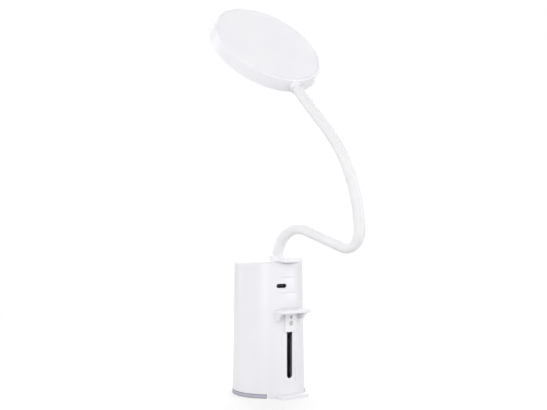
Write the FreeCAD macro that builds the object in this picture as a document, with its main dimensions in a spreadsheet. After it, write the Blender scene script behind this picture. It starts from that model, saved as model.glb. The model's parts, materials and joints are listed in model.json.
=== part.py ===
import FreeCAD, Part
import math
import os
import Sketcher
from FreeCAD import Placement, Rotation, Vector

# Rechargeable gooseneck lamp: a tapered battery base with a spring-loaded clamp on its back,
# a flexible neck and a flat round LED head. Millimetres; +Z up, +Y towards the clamp side.
# The origin is the centre of the underside, where the lamp stands.

os.makedirs("parts", exist_ok=True)
doc = FreeCAD.newDocument("clamp_lamp")

SIZES = [
    # clearances
    ("fit_gap", 0.1),
    ("running_gap", 0.3),
    ("screw_gap", 0.05),
    ("head_gap", 0.2),
    # base
    ("base_height", 116.9),
    ("base_radius_bottom", 32.03),
    ("base_radius_top", 29.8),
    ("shell_wall", 2.0),
    ("shell_top_wall", 2.2),
    ("shell_top_round", 4.0),
    ("boss_radius", 4.6),
    ("boss_merge", 0.3),
    ("boss_height", 7.3),
    ("boss_roof", 1.5),
    ("foot_height", 3.6),
    ("foot_sheet", 0.6),
    ("foot_opening_half_angle", 40.0),
    ("foot_screw_margin", 0.9),
    ("foot_lap", 1.0),
    ("lip_root_depth", 4.0),
    ("bottom_screw_cover", 0.4),
    ("bottom_screw_head_radius", 2.2),
    ("bottom_screw_head", 1.5),
    ("bottom_screw_shank_radius", 1.1),
    ("bottom_screw_length", 8.4),
    # grip on the back: three grooves with a crowned pillow between each two
    ("groove_depth", 0.8),
    ("groove_half_height", 0.45),
    ("groove_pitch", 13.5),
    ("groove_from_top", 13.6),
    ("groove_axis_setback", 16.0),
    ("pillow_depth", 0.35),
    # clamp channel and slot
    ("rear_flat_depth", 1.4),
    ("rear_wall", 4.0),
    ("channel_side_gap", 0.6),
    ("channel_top_room", 0.6),
    ("channel_end_room", 2.6),
    ("slot_half_width", 2.9),
    ("slot_bottom_z", 16.1),
    ("slot_top_drop", 0.2),
    ("slot_lip", 1.4),
    ("slot_relief", 1.2),
    # clamp jaw
    ("jaw_rest_gap", 40.0),
    ("tongue_half_width", 5.7),
    ("tongue_thickness", 1.9),
    ("tongue_length", 18.9),
    ("tab_half_width", 15.0),
    ("tab_overhang", 9.95),
    ("tab_thickness", 2.3),
    ("tab_root_thickness", 8.8),
    ("tab_corner_round", 2.5),
    ("tab_edge_round", 0.4),
    ("tab_body_clearance", 0.4),
    ("gusset_radius", 12.0),
    ("gusset_width", 2.8),
    ("gusset_side_inset", 0.5),
    ("gusset_end_inset", 0.3),
    ("pad_thickness", 0.8),
    ("pad_edge_inset", 1.0),
    ("block_half_width", 8.5),
    ("block_thickness", 4.5),
    ("block_top_drop", 0.8),
    ("rib_bottom_rise", 2.6),
    ("rib_top_drop", 1.4),
    ("upper_screw_drop", 6.2),
    ("lower_screw_drop", 11.5),
    ("upper_screw_head_radius", 1.2),
    ("lower_screw_head_radius", 1.7),
    ("screw_shank_radius", 0.8),
    ("screw_recess_depth", 0.6),
    ("screw_head_height", 0.8),
    ("lug_x", -7.0),
    ("lug_reach", 7.4),
    ("lug_radius", 2.6),
    ("lug_height", 3.0),
    ("spring_radius", 1.9),
    ("spring_wire_radius", 0.45),
    ("spring_pitch", 3.4),
    ("spring_pin_drop", 10.0),
    ("spring_pin_radius", 1.3),
    ("spring_notch_room", 0.8),
    # upper jaw
    ("upper_jaw_half_width", 10.0),
    ("upper_jaw_collar_gap", 0.9),
    ("upper_jaw_overhang", 7.5),
    ("upper_jaw_height", 3.6),
    ("upper_jaw_round", 1.4),
    ("upper_jaw_corner", 4.0),
    ("upper_pad_start", 0.5),
    # lower lip
    ("lower_lip_half_width", 15.0),
    ("lower_lip_overhang", 7.85),
    ("lower_lip_thickness", 3.1),
    ("lower_lip_corner", 4.0),
    ("lower_lip_round", 0.8),
    # charging inlet
    ("inlet_angle", 14.6),
    ("inlet_gap", 0.22),
    ("inlet_recess", 1.3),
    ("socket_width", 8.94),
    ("socket_height", 3.26),
    ("socket_length", 7.3),
    ("socket_wall", 0.3),
    ("socket_back", 1.0),
    ("socket_tongue_width", 6.7),
    ("socket_tongue_height", 0.7),
    ("socket_tongue_inset", 0.8),
    # power button
    ("button_drop", 14.4),
    ("button_radius", 6.0),
    ("button_flange_radius", 7.0),
    ("button_flange", 1.0),
    ("button_proud", 0.9),
    ("button_travel", 0.7),
    ("button_edge_round", 0.6),
    ("switch_depth", 3.5),
    ("switch_half_width", 3.0),
    ("switch_stem_radius", 1.75),
    ("switch_stem", 1.1),
    ("switch_board_half_width", 9.0),
    ("switch_board_height", 13.0),
    # inside the base
    ("cell_radius", 9.15),
    ("cell_height", 65.0),
    ("cell_gap", 0.45),
    ("cell_y", -6.0),
    ("cell_tip_radius", 3.7),
    ("cell_tip_height", 1.0),
    ("holder_plate", 2.0),
    ("holder_edge_gap", 0.4),
    ("holder_rear_gap", 1.0),
    ("upright_side_room", 1.2),
    ("upright_thickness", 2.2),
    ("upright_half_depth", 6.0),
    ("board_drop", 24.1),
    ("board_thickness", 1.6),
    ("board_edge_gap", 1.0),
    ("board_rear_gap", 0.6),
    ("coil_radius", 3.5),
    ("coil_height", 4.0),
    ("chip_size", 4.0),
    ("chip_height", 1.0),
    ("plug_length", 5.0),
    ("plug_width", 7.5),
    ("plug_height", 5.5),
    # neck
    ("collar_y", 13.3),
    ("collar_wall", 2.0),
    ("collar_height", 5.0),
    ("collar_chamfer", 1.2),
    ("neck_radius", 4.5),
    ("neck_turn_of_plane", 7.0),
    ("ferrule_step", 0.9),
    ("ferrule_end", 1.0),
    ("nut_wall", 2.6),
    ("nut_height", 3.4),
    ("joint_gap", 0.4),
    ("neck_rise", 1.8),
    ("first_bend_radius", 26.5),
    ("first_bend_angle", 107.2),
    ("middle_straight", 43.5),
    ("second_bend_radius", 14.6),
    ("second_bend_angle", 109.8),
    ("long_arc_radius", 128.0),
    ("long_arc_angle", 41.4),
    ("last_straight", 52.0),
    ("root_length", 9.0),
    ("link_1_length", 51.0),
    ("link_2_length", 30.0),
    ("link_4_length", 48.0),
    ("link_5_length", 42.0),
    ("tip_length", 17.35),
    # head
    ("head_back_radius", 50.3),
    ("head_front_radius", 52.2),
    ("head_thickness", 11.4),
    ("head_wall", 2.0),
    ("head_edge_round", 1.2),
    ("head_front_round", 0.5),
    ("head_groove_inset", 2.7),
    ("head_groove_width", 0.7),
    ("head_groove_depth", 0.4),
    ("head_roll", -6.7),
    ("light_ring_width", 6.0),
    ("light_ring_inset", 0.3),
    ("light_ring_lip", 0.5),
    ("light_ring_depth", 2.0),
    ("diffuser_lap", 1.3),
    ("diffuser_thickness", 1.8),
    ("led_board_gap", 3.1),
    ("led_board_thickness", 1.2),
    ("heat_plate_thickness", 1.0),
    ("led_ring_inset", 7.0),
    ("led_size", 3.0),
    ("led_height", 0.7),
    ("head_collar_wall", 0.7),
    ("head_collar_length", 3.6),
    ("head_collar_root", 1.2),
    ("head_neck_seat", 1.35),
    ("head_ferrule_step", 1.5),
    ("clamp_half_width", 5.0),
    ("clamp_length", 4.2),
]

sheet = doc.addObject("Spreadsheet::Sheet", "Sizes")
for row, (alias, value) in enumerate(SIZES, start=1):
    sheet.set(f"A{row}", alias)
    sheet.set(f"B{row}", str(value))
    sheet.setAlias(f"B{row}", alias)
doc.recompute()


class Size:
    """A length or angle with its value and the expression that ties it to the sheet."""

    def __init__(self, value, text):
        self.value = float(value)
        self.text = text

    def _with(self, other, sign, value):
        return Size(value, f"({self.text} {sign} {as_size(other).text})")

    def __add__(self, other):
        return self._with(other, "+", self.value + as_size(other).value)

    def __sub__(self, other):
        return self._with(other, "-", self.value - as_size(other).value)

    def __mul__(self, other):
        return self._with(other, "*", self.value * as_size(other).value)

    def __truediv__(self, other):
        return self._with(other, "/", self.value / as_size(other).value)

    def __radd__(self, other):
        return as_size(other) + self

    def __rsub__(self, other):
        return as_size(other) - self

    def __rmul__(self, other):
        return as_size(other) * self

    def __neg__(self):
        return Size(-self.value, f"(0 - {self.text})")


def as_size(number):
    if isinstance(number, Size):
        return number
    return Size(number, repr(float(number)))


def sine(angle):
    return Size(math.sin(math.radians(angle.value)), f"sin({angle.text} * 1 deg)")


def cosine(angle):
    return Size(math.cos(math.radians(angle.value)), f"cos({angle.text} * 1 deg)")


def root(number):
    return Size(math.sqrt(number.value), f"sqrt({number.text})")


class Sheet:
    """size.wall gives the cell called wall as a Size. What follows from the cells is below."""

    def __getattr__(self, alias):
        return Size(sheet.get(alias), f"Sizes.{alias}")

    @property
    def inner_radius(self):
        return self.base_radius_top - self.shell_wall

    @property
    def rear_wall_y(self):
        """The flat inside of the back wall, which the slider block runs on."""
        return self.inner_radius - self.rear_flat_depth

    @property
    def channel_floor_y(self):
        return self.rear_wall_y + self.rear_wall

    @property
    def channel_half_width(self):
        return self.tongue_half_width + self.channel_side_gap

    @property
    def channel_bottom_z(self):
        return self.slot_bottom_z - self.channel_end_room

    @property
    def slot_top_z(self):
        return self.tab_top_z - self.slot_top_drop

    @property
    def tab_top_z(self):
        return self.base_height - self.pad_thickness * 2 - self.jaw_rest_gap

    @property
    def tab_reach_y(self):
        return self.base_radius_bottom + self.tab_overhang

    @property
    def tongue_face_y(self):
        return self.channel_floor_y + self.running_gap + self.tongue_thickness

    @property
    def tongue_bottom_z(self):
        return self.tab_top_z - self.tongue_length

    @property
    def rib_bottom_z(self):
        return self.tongue_bottom_z + self.rib_bottom_rise

    @property
    def rib_top_z(self):
        return self.tab_top_z - self.rib_top_drop

    @property
    def jaw_travel(self):
        """The rib goes down until it reaches the round end of the slot."""
        return self.rib_bottom_z - self.slot_half_width - self.slot_bottom_z

    @property
    def block_top_z(self):
        return self.tab_top_z - self.block_top_drop

    @property
    def lug_y(self):
        return self.rear_wall_y - self.lug_reach

    @property
    def spring_pin_z(self):
        return self.base_height - self.spring_pin_drop

    @property
    def bottom_screw_ring(self):
        return self.inner_radius - self.boss_radius + self.boss_merge

    @property
    def bottom_screw_seat(self):
        return self.foot_sheet + self.bottom_screw_head + self.bottom_screw_cover

    @property
    def foot_inner_radius(self):
        return self.bottom_screw_ring + self.bottom_screw_head_radius + self.foot_screw_margin

    @property
    def lip_root_radius(self):
        return self.foot_inner_radius - self.lip_root_depth

    @property
    def holder_top_z(self):
        return self.foot_height + self.holder_plate

    @property
    def upper_jaw_front_y(self):
        return self.collar_y + self.collar_radius + self.upper_jaw_collar_gap

    @property
    def upper_jaw_reach_y(self):
        return self.base_radius_top + self.upper_jaw_overhang

    @property
    def lower_lip_reach_y(self):
        return self.base_radius_bottom + self.lower_lip_overhang

    @property
    def groove_top_z(self):
        return self.base_height - self.groove_from_top

    @property
    def button_z(self):
        return self.base_height - self.button_drop

    @property
    def board_z(self):
        return self.base_height - self.board_drop

    @property
    def board_top_z(self):
        return self.board_z + self.board_thickness

    @property
    def board_radius(self):
        return self.inner_radius - self.board_edge_gap

    @property
    def inlet_z(self):
        """The socket stands on the main board."""
        return self.board_top_z + self.socket_height / 2

    @property
    def cell_x(self):
        return self.cell_radius + self.cell_gap

    @property
    def upright_x(self):
        return self.cell_x + self.cell_radius + self.upright_side_room

    @property
    def ferrule_radius(self):
        return self.neck_radius - self.ferrule_step

    @property
    def nut_radius(self):
        return self.ferrule_radius + self.nut_wall

    @property
    def collar_bore(self):
        return self.neck_radius + self.running_gap

    @property
    def collar_radius(self):
        return self.collar_bore + self.collar_wall

    @property
    def head_ferrule_radius(self):
        return self.neck_radius - self.head_ferrule_step

    @property
    def head_collar_radius(self):
        return self.neck_radius + self.fit_gap + self.head_collar_wall

    @property
    def head_middle_radius(self):
        return (self.head_back_radius + self.head_front_radius) / 2

    @property
    def head_centre_from_neck(self):
        return self.head_middle_radius + self.head_collar_length - self.head_neck_seat

    @property
    def head_groove_radius(self):
        return self.head_back_radius - self.head_groove_inset

    @property
    def light_ring_radius(self):
        return self.head_front_radius - self.light_ring_width


size = Sheet()
nodes = []


def shell_radius(z):
    """Outer radius of the tapered base at height z."""
    slope = (size.base_radius_top - size.base_radius_bottom) / size.base_height
    return size.base_radius_bottom + slope * z


# ---- PartDesign helpers ------------------------------------------------------------------


def new_body(label):
    body = doc.addObject("PartDesign::Body", label)
    body.Label = label
    nodes.append(body)
    return body


def new_sketch(body, plane, name, offset=0.0, turn=None):
    """A sketch on one of the body's own origin planes, moved along its normal by offset."""
    sketch = body.newObject("Sketcher::SketchObject", f"{body.Label}_{name}")
    origin_plane = next(f for f in body.Origin.OriginFeatures if f.Role == plane)
    sketch.AttachmentSupport = [(origin_plane, "")]
    sketch.MapMode = "FlatFace"
    offset = as_size(offset)
    sketch.AttachmentOffset = Placement(Vector(0, 0, offset.value), turn or Rotation())
    sketch.setExpression("AttachmentOffset.Base.z", offset.text)
    return sketch


def pin_point(sketch, geometry, end, x, y):
    """Fix one point of the sketch at x, y from the origin, tied to the sheet."""
    for kind, axis, value in (("DistanceX", -2, x), ("DistanceY", -1, y)):
        if abs(value.value) < 1e-9:
            sketch.addConstraint(
                Sketcher.Constraint("PointOnObject", geometry, end, axis)
            )
            continue
        index = sketch.addConstraint(
            Sketcher.Constraint(kind, -1, 1, geometry, end, value.value)
        )
        sketch.setExpression(f"Constraints[{index}]", value.text)


def outline(sketch, corners):
    """A closed outline through corners, each (x, y) or (x, y, radius, turn).

    With a radius, the side that leaves the corner is an arc; turn is 1 for an arc that runs
    anticlockwise and -1 for clockwise, and the arc takes the shorter way unless turn is 2 or -2.
    """
    corners = [(as_size(c[0]), as_size(c[1]), *c[2:]) for c in corners]
    ends = []
    for index, corner in enumerate(corners):
        following = corners[(index + 1) % len(corners)]
        start = Vector(corner[0].value, corner[1].value, 0)
        finish = Vector(following[0].value, following[1].value, 0)
        if len(corner) == 2:
            ends.append((sketch.addGeometry(Part.LineSegment(start, finish)), 1, 2, None))
            continue
        radius = as_size(corner[2])
        turn = corner[3]
        chord = finish - start
        rise = math.sqrt(max(radius.value**2 - (chord.Length / 2) ** 2, 0.0))
        left = Vector(-chord.y, chord.x, 0).normalize()
        side = 1 if turn in (1, -2) else -1
        centre = (start + finish) / 2 + left * rise * side
        half_circle = rise < 1e-6
        first, last = (start, finish) if turn > 0 else (finish, start)
        angle_a = math.atan2(first.y - centre.y, first.x - centre.x)
        angle_b = math.atan2(last.y - centre.y, last.x - centre.x)
        while angle_b <= angle_a:
            angle_b += 2 * math.pi
        circle = Part.Circle(centre, Vector(0, 0, 1), radius.value)
        geometry = sketch.addGeometry(Part.ArcOfCircle(circle, angle_a, angle_b))
        bound = ("radius", radius)
        if half_circle and abs(chord.y) > abs(chord.x):
            bound = ("centre_x", corner[0])
        elif half_circle:
            bound = ("centre_y", corner[1])
        ends.append((geometry, 1, 2, bound) if turn > 0 else (geometry, 2, 1, bound))
    for index, (geometry, start_end, _, bound) in enumerate(ends):
        previous = ends[index - 1]
        sketch.addConstraint(
            Sketcher.Constraint("Coincident", previous[0], previous[2], geometry, start_end)
        )
        pin_point(sketch, geometry, start_end, corners[index][0], corners[index][1])
        if bound is None:
            continue
        rule = {
            "radius": ("Radius", geometry),
            "centre_x": ("DistanceX", -1, 1, geometry, 3),
            "centre_y": ("DistanceY", -1, 1, geometry, 3),
        }[bound[0]]
        constraint = sketch.addConstraint(Sketcher.Constraint(*rule, bound[1].value))
        sketch.setExpression(f"Constraints[{constraint}]", bound[1].text)


def circle(sketch, x, y, radius):
    radius = as_size(radius)
    x, y = as_size(x), as_size(y)
    geometry = sketch.addGeometry(
        Part.Circle(Vector(x.value, y.value, 0), Vector(0, 0, 1), radius.value)
    )
    pin_point(sketch, geometry, 3, x, y)
    index = sketch.addConstraint(Sketcher.Constraint("Radius", geometry, radius.value))
    sketch.setExpression(f"Constraints[{index}]", radius.text)


def rectangle(sketch, x_low, x_high, y_low, y_high):
    outline(sketch, [(x_low, y_low), (x_high, y_low), (x_high, y_high), (x_low, y_high)])


def pad(body, sketch, length, midplane=False, backwards=False):
    length = as_size(length)
    feature = body.newObject("PartDesign::Pad", sketch.Name + "_pad")
    feature.Profile = sketch
    feature.Length = length.value
    feature.setExpression("Length", length.text)
    feature.Midplane = midplane
    feature.Reversed = backwards
    sketch.Visibility = False
    body.Tip = feature
    return feature


def cut(body, sketch, depth, backwards=False, midplane=False):
    """A pocket that has to take something away, or the build stops."""
    doc.recompute()
    before = body.Shape.Volume
    depth = as_size(depth)
    feature = body.newObject("PartDesign::Pocket", sketch.Name + "_pocket")
    feature.Profile = sketch
    feature.Length = depth.value
    feature.setExpression("Length", depth.text)
    feature.Reversed = backwards
    feature.Midplane = midplane
    sketch.Visibility = False
    body.Tip = feature
    doc.recompute()
    if not body.Shape.Volume < before - 1e-3:
        raise RuntimeError(f"{feature.Name} cuts nothing")
    return feature


def revolve(body, sketch, angle=360.0, groove=False, midplane=False):
    kind = "PartDesign::Groove" if groove else "PartDesign::Revolution"
    angle = as_size(angle)
    feature = body.newObject(kind, sketch.Name + "_turned")
    feature.Profile = sketch
    feature.ReferenceAxis = (sketch, ["V_Axis"])
    feature.Angle = angle.value
    feature.setExpression("Angle", angle.text)
    feature.Midplane = midplane
    sketch.Visibility = False
    body.Tip = feature
    return feature


def round_edges(body, radius, chosen):
    """Fillet every edge of the body for which chosen(edge) is true."""
    doc.recompute()
    tip = body.Tip
    names = [f"Edge{i}" for i, e in enumerate(tip.Shape.Edges, start=1) if chosen(e)]
    if not names:
        raise RuntimeError(f"{body.Label} has no such edge to round")
    radius = as_size(radius)
    feature = body.newObject("PartDesign::Fillet", f"{body.Label}_round_{tip.Name[-6:]}")
    feature.Base = (tip, names)
    feature.Radius = radius.value
    feature.setExpression("Radius", radius.text)
    body.Tip = feature
    doc.recompute()


def turned_piece(label, corners):
    """A body turned about its own Z axis from a profile of (radius, height) corners."""
    body = new_body(label)
    sketch = new_sketch(body, "XZ_Plane", "profile")
    outline(sketch, corners)
    revolve(body, sketch)
    return body


def flat_edge_at(height, tolerance=1e-4):
    return lambda e: abs(e.BoundBox.ZMin - height) < tolerance and e.BoundBox.ZLength < tolerance


def upright_edge(e):
    return e.BoundBox.XLength < 1e-6 and e.BoundBox.YLength < 1e-6


# ---- base --------------------------------------------------------------------------------

# In a sketch on the XZ plane the normal points to -Y, so a place at +Y has a negative offset.


def base_shell():
    body = new_body("base_shell")
    profile = new_sketch(body, "XZ_Plane", "profile")
    foot = size.foot_height
    top = size.base_height
    outline(profile, [(0, foot), (shell_radius(foot), foot), (shell_radius(top), top), (0, top)])
    revolve(body, profile)
    round_edges(
        body,
        size.shell_top_round,
        lambda e: flat_edge_at(top.value)(e) and e.Length > size.base_radius_top.value,
    )
    # The inside is flat behind the clamp channel, for the slider block to run on.
    inside = new_sketch(body, "XY_Plane", "inside", foot)
    inner = size.inner_radius
    half_chord = root(inner * inner - size.rear_wall_y * size.rear_wall_y)
    outline(
        inside,
        [
            (half_chord, size.rear_wall_y),
            (-half_chord, size.rear_wall_y, inner, 2),
        ],
    )
    cut(body, inside, top - size.shell_top_wall - foot, backwards=True)
    bosses = new_sketch(body, "XY_Plane", "bosses", size.holder_top_z)
    boss_holes = new_sketch(body, "XY_Plane", "boss_holes", size.holder_top_z)
    for x, y in bottom_screw_places():
        circle(bosses, x, y, size.boss_radius)
        circle(boss_holes, x, y, size.bottom_screw_shank_radius + size.screw_gap)
    pad(body, bosses, size.boss_height)
    cut(body, boss_holes, size.boss_height - size.boss_roof, backwards=True)
    # Channel for the clamp's tongue: a shallow flat, shallower where the base is slimmer.
    channel = new_sketch(body, "XZ_Plane", "channel", -size.channel_floor_y)
    width = size.channel_half_width
    rectangle(channel, -width, width, size.channel_bottom_z, size.tab_top_z + size.channel_top_room)
    cut(body, channel, 10, backwards=False)
    slot = new_sketch(body, "XZ_Plane", "slot", -size.rear_wall_y + 1)
    half = size.slot_half_width
    low, high = size.slot_bottom_z + half, size.slot_top_z
    outline(slot, [(-half, high), (-half, low, half, 1), (half, low), (half, high)])
    cut(body, slot, 10, backwards=False)
    # Behind its lip the slot is wider, so that only a thin edge shows from outside.
    relief = new_sketch(body, "XZ_Plane", "slot_relief", -size.channel_floor_y + size.slot_lip)
    relief_half = half + size.slot_relief
    rectangle(relief, -relief_half, relief_half, size.slot_bottom_z - size.slot_relief, high)
    cut(body, relief, size.rear_wall - size.slot_lip + 1, backwards=True)
    grip(body)
    # Neck hole through the top.
    neck_hole = new_sketch(body, "XY_Plane", "neck_hole", top - size.shell_top_wall - 1)
    circle(neck_hole, 0, size.collar_y, size.ferrule_radius + size.fit_gap)
    cut(body, neck_hole, size.shell_top_wall + 2, backwards=True)
    # Button hole in the front.
    button_hole = new_sketch(body, "XZ_Plane", "button_hole", inner - 3)
    circle(button_hole, 0, size.button_z, size.button_radius + size.running_gap)
    cut(body, button_hole, 10, backwards=True)
    # Charging inlet, cut square to the curved wall.
    inlet = new_sketch(
        body, "XZ_Plane", "inlet", 0, Rotation(Vector(0, 1, 0), -size.inlet_angle.value)
    )
    room = size.inlet_gap * 2
    long_hole(inlet, size.socket_width + room, size.socket_height + room, size.inlet_z)
    cut(body, inlet, size.base_radius_bottom + 5)


def grip(body):
    """Grooves and pillows on the back, turned about an axis set back from the base's own.

    The cut is deepest in the middle of the back and fades out to both sides.
    """
    profile = new_sketch(body, "YZ_Plane", "grip")
    setback = size.groove_axis_setback
    profile.setExpression("AttachmentOffset.Base.x", (-setback).text)
    half = size.groove_half_height
    sagitta = size.pillow_depth
    half_pillow = size.groove_pitch / 2 - half
    pillow_radius = half_pillow * half_pillow / (sagitta * 2) + sagitta / 2
    bottom, middle, top = (size.groove_top_z - size.groove_pitch * n for n in (2, 1, 0))

    def surface(z, depth):
        return shell_radius(z) + setback - depth

    clear = size.base_radius_bottom + setback + 1
    outline(
        profile,
        [
            (surface(bottom - half, as_size(0)), bottom - half),
            (surface(bottom, size.groove_depth), bottom),
            (surface(bottom + half, sagitta), bottom + half, pillow_radius, 1),
            (surface(middle - half, sagitta), middle - half),
            (surface(middle, size.groove_depth), middle),
            (surface(middle + half, sagitta), middle + half, pillow_radius, 1),
            (surface(top - half, sagitta), top - half),
            (surface(top, size.groove_depth), top),
            (surface(top + half, as_size(0)), top + half),
            (clear, top + half),
            (clear, bottom - half),
        ],
    )
    before = body.Shape.Volume
    revolve(body, profile, groove=True)
    doc.recompute()
    if not body.Shape.Volume < before - 1e-3:
        raise RuntimeError("the grip cuts nothing")


def long_hole(sketch, width, height, centre_z):
    """A hole with half-round ends, centred on x = 0."""
    half = height / 2
    reach = width / 2 - half
    outline(
        sketch,
        [
            (-reach, centre_z - half),
            (reach, centre_z - half, half, 1),
            (reach, centre_z + half),
            (-reach, centre_z + half, half, 1),
        ],
    )


def foot_sector_edge():
    """Angle, from +X, of the right-hand end of the opening in the foot band."""
    return 90 - size.foot_opening_half_angle


def foot_pad():
    """Dark rubber foot: a thin sheet under the base, with a band round its edge.

    Both are open at the back, where the lower lip comes out.
    """
    body = new_body("foot_pad")
    band = new_sketch(body, "XY_Plane", "band")
    start = 90 + size.foot_opening_half_angle
    outer = size.base_radius_bottom
    inner = size.foot_inner_radius
    outline(
        band,
        [
            (outer * cosine(start), outer * sine(start), outer, 2),
            (-(outer * cosine(start)), outer * sine(start)),
            (-(inner * cosine(start)), inner * sine(start), inner, -2),
            (inner * cosine(start), inner * sine(start)),
        ],
    )
    pad(body, band, size.foot_height)
    sheet_disc = new_sketch(body, "XY_Plane", "sheet")
    circle(sheet_disc, 0, 0, inner + size.foot_lap)
    pad(body, sheet_disc, size.foot_sheet - size.fit_gap / 2)
    opening = new_sketch(body, "XY_Plane", "opening")
    edge = foot_sector_edge()
    near = size.lip_root_radius - size.fit_gap
    far = outer + 1
    outline(
        opening,
        [
            (near * cosine(edge), near * sine(edge)),
            (far * cosine(edge), far * sine(edge), far, 1),
            (-(far * cosine(edge)), far * sine(edge)),
            (-(near * cosine(edge)), near * sine(edge), near, -1),
        ],
    )
    cut(body, opening, size.foot_height + 1, backwards=True)


def bottom_cover():
    """White bottom plate, with the fixed lower lip at the back."""
    body = new_body("bottom_cover")
    disc = new_sketch(body, "XY_Plane", "disc", size.foot_sheet)
    circle(disc, 0, 0, size.foot_inner_radius - size.fit_gap)
    pad(body, disc, size.foot_height - size.foot_sheet)
    sector = new_sketch(body, "XY_Plane", "sector")
    edge = foot_sector_edge() + 0.5
    outer = size.base_radius_bottom
    inner = size.lip_root_radius
    outline(
        sector,
        [
            (inner * cosine(edge), inner * sine(edge)),
            (outer * cosine(edge), outer * sine(edge), outer, 1),
            (-(outer * cosine(edge)), outer * sine(edge)),
            (-(inner * cosine(edge)), inner * sine(edge), inner, -1),
        ],
    )
    pad(body, sector, size.foot_height)
    lip = new_sketch(body, "XY_Plane", "lip")
    half = size.lower_lip_half_width
    corner = size.lower_lip_corner
    reach = size.lower_lip_reach_y
    start = size.lip_root_radius + size.foot_lap
    outline(
        lip,
        [
            (-half, start),
            (half, start),
            (half, reach - corner, corner, 1),
            (half - corner, reach),
            (-half + corner, reach, corner, 1),
            (-half, reach - corner),
        ],
    )
    pad(body, lip, size.lower_lip_thickness)
    lip_top = size.lower_lip_thickness.value
    tip_y = size.lower_lip_reach_y.value
    round_edges(
        body,
        size.lower_lip_round,
        lambda e: flat_edge_at(lip_top)(e) and e.BoundBox.YMax > tip_y - corner.value - 1e-4
        and e.CenterOfMass.y > size.base_radius_bottom.value + 1,
    )
    heads = new_sketch(body, "XY_Plane", "screw_heads")
    holes = new_sketch(body, "XY_Plane", "screw_holes")
    for x, y in bottom_screw_places():
        circle(heads, x, y, size.bottom_screw_head_radius + size.head_gap)
        circle(holes, x, y, size.bottom_screw_shank_radius + size.screw_gap)
    cut(body, heads, size.bottom_screw_seat, backwards=True)
    cut(body, holes, size.foot_height + 1, backwards=True)


def bottom_screw_places():
    ring = size.bottom_screw_ring
    return [(ring * cosine(as_size(a)), ring * sine(as_size(a))) for a in (30, 150, 270)]


def turned_screw(label, head_radius, head_height, shank_radius, shank_length):
    """One screw: a head below z = 0 and a shank above, fused."""
    head = doc.addObject("Part::Cylinder", label + "_head")
    head.setExpression("Radius", as_size(head_radius).text)
    head.setExpression("Height", as_size(head_height).text)
    head.Placement = Placement(Vector(0, 0, -as_size(head_height).value), Rotation())
    recess = doc.addObject("Part::Prism", label + "_recess")
    recess.Polygon = 6
    recess.setExpression("Circumradius", (as_size(head_radius) * 0.5).text)
    recess.setExpression("Height", (as_size(head_height) * 0.6).text)
    recess.Placement = head.Placement
    driven = doc.addObject("Part::Cut", label + "_driven_head")
    driven.Base = head
    driven.Tool = recess
    shank = doc.addObject("Part::Cylinder", label + "_shank")
    shank.setExpression("Radius", as_size(shank_radius).text)
    shank.setExpression("Height", as_size(shank_length).text)
    screw = doc.addObject("Part::Fuse", label)
    screw.Base = driven
    screw.Tool = shank
    return screw


def group(label, members):
    compound = doc.addObject("Part::Compound", label)
    compound.Label = label
    compound.Links = members
    nodes.append(compound)


def bottom_screws():
    """Three screws through the bottom plate and the battery holder into the shell's bosses."""
    members = []
    for number, (x, y) in enumerate(bottom_screw_places(), start=1):
        screw = turned_screw(
            f"bottom_screw_{number}",
            size.bottom_screw_head_radius,
            size.bottom_screw_head,
            size.bottom_screw_shank_radius,
            size.bottom_screw_length,
        )
        seat = size.bottom_screw_seat
        screw.Placement = Placement(Vector(x.value, y.value, seat.value), Rotation())
        members.append(screw)
    group("bottom_screws", members)


def upper_jaw():
    """Fixed jaw: a plate on the top that overhangs the back."""
    body = new_body("upper_jaw")
    plate = new_sketch(body, "XY_Plane", "plate", size.base_height)
    half = size.upper_jaw_half_width
    corner = size.upper_jaw_corner
    reach = size.upper_jaw_reach_y
    outline(
        plate,
        [
            (-half, size.upper_jaw_front_y),
            (half, size.upper_jaw_front_y),
            (half, reach - corner, corner, 1),
            (half - corner, reach),
            (-half + corner, reach, corner, 1),
            (-half, reach - corner),
        ],
    )
    pad(body, plate, size.upper_jaw_height)
    top = size.base_height + size.upper_jaw_height
    round_edges(body, size.upper_jaw_round, flat_edge_at(top.value))


def jaw_face_pad(label, height, half, near, reach):
    """A thin soft pad with rounded outer corners."""
    body = new_body(label)
    face = new_sketch(body, "XY_Plane", "face", height)
    corner = size.pad_thickness * 2
    outline(
        face,
        [
            (-half, near),
            (half, near),
            (half, reach - corner, corner, 1),
            (half - corner, reach),
            (-half + corner, reach, corner, 1),
            (-half, reach - corner),
        ],
    )
    pad(body, face, size.pad_thickness)


def jaw_clear_radius():
    """Radius that the moving jaw keeps outside, at the bottom of its travel."""
    lowest = size.tab_top_z - size.tab_root_thickness - size.jaw_travel
    return shell_radius(lowest) + size.tab_body_clearance


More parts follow.
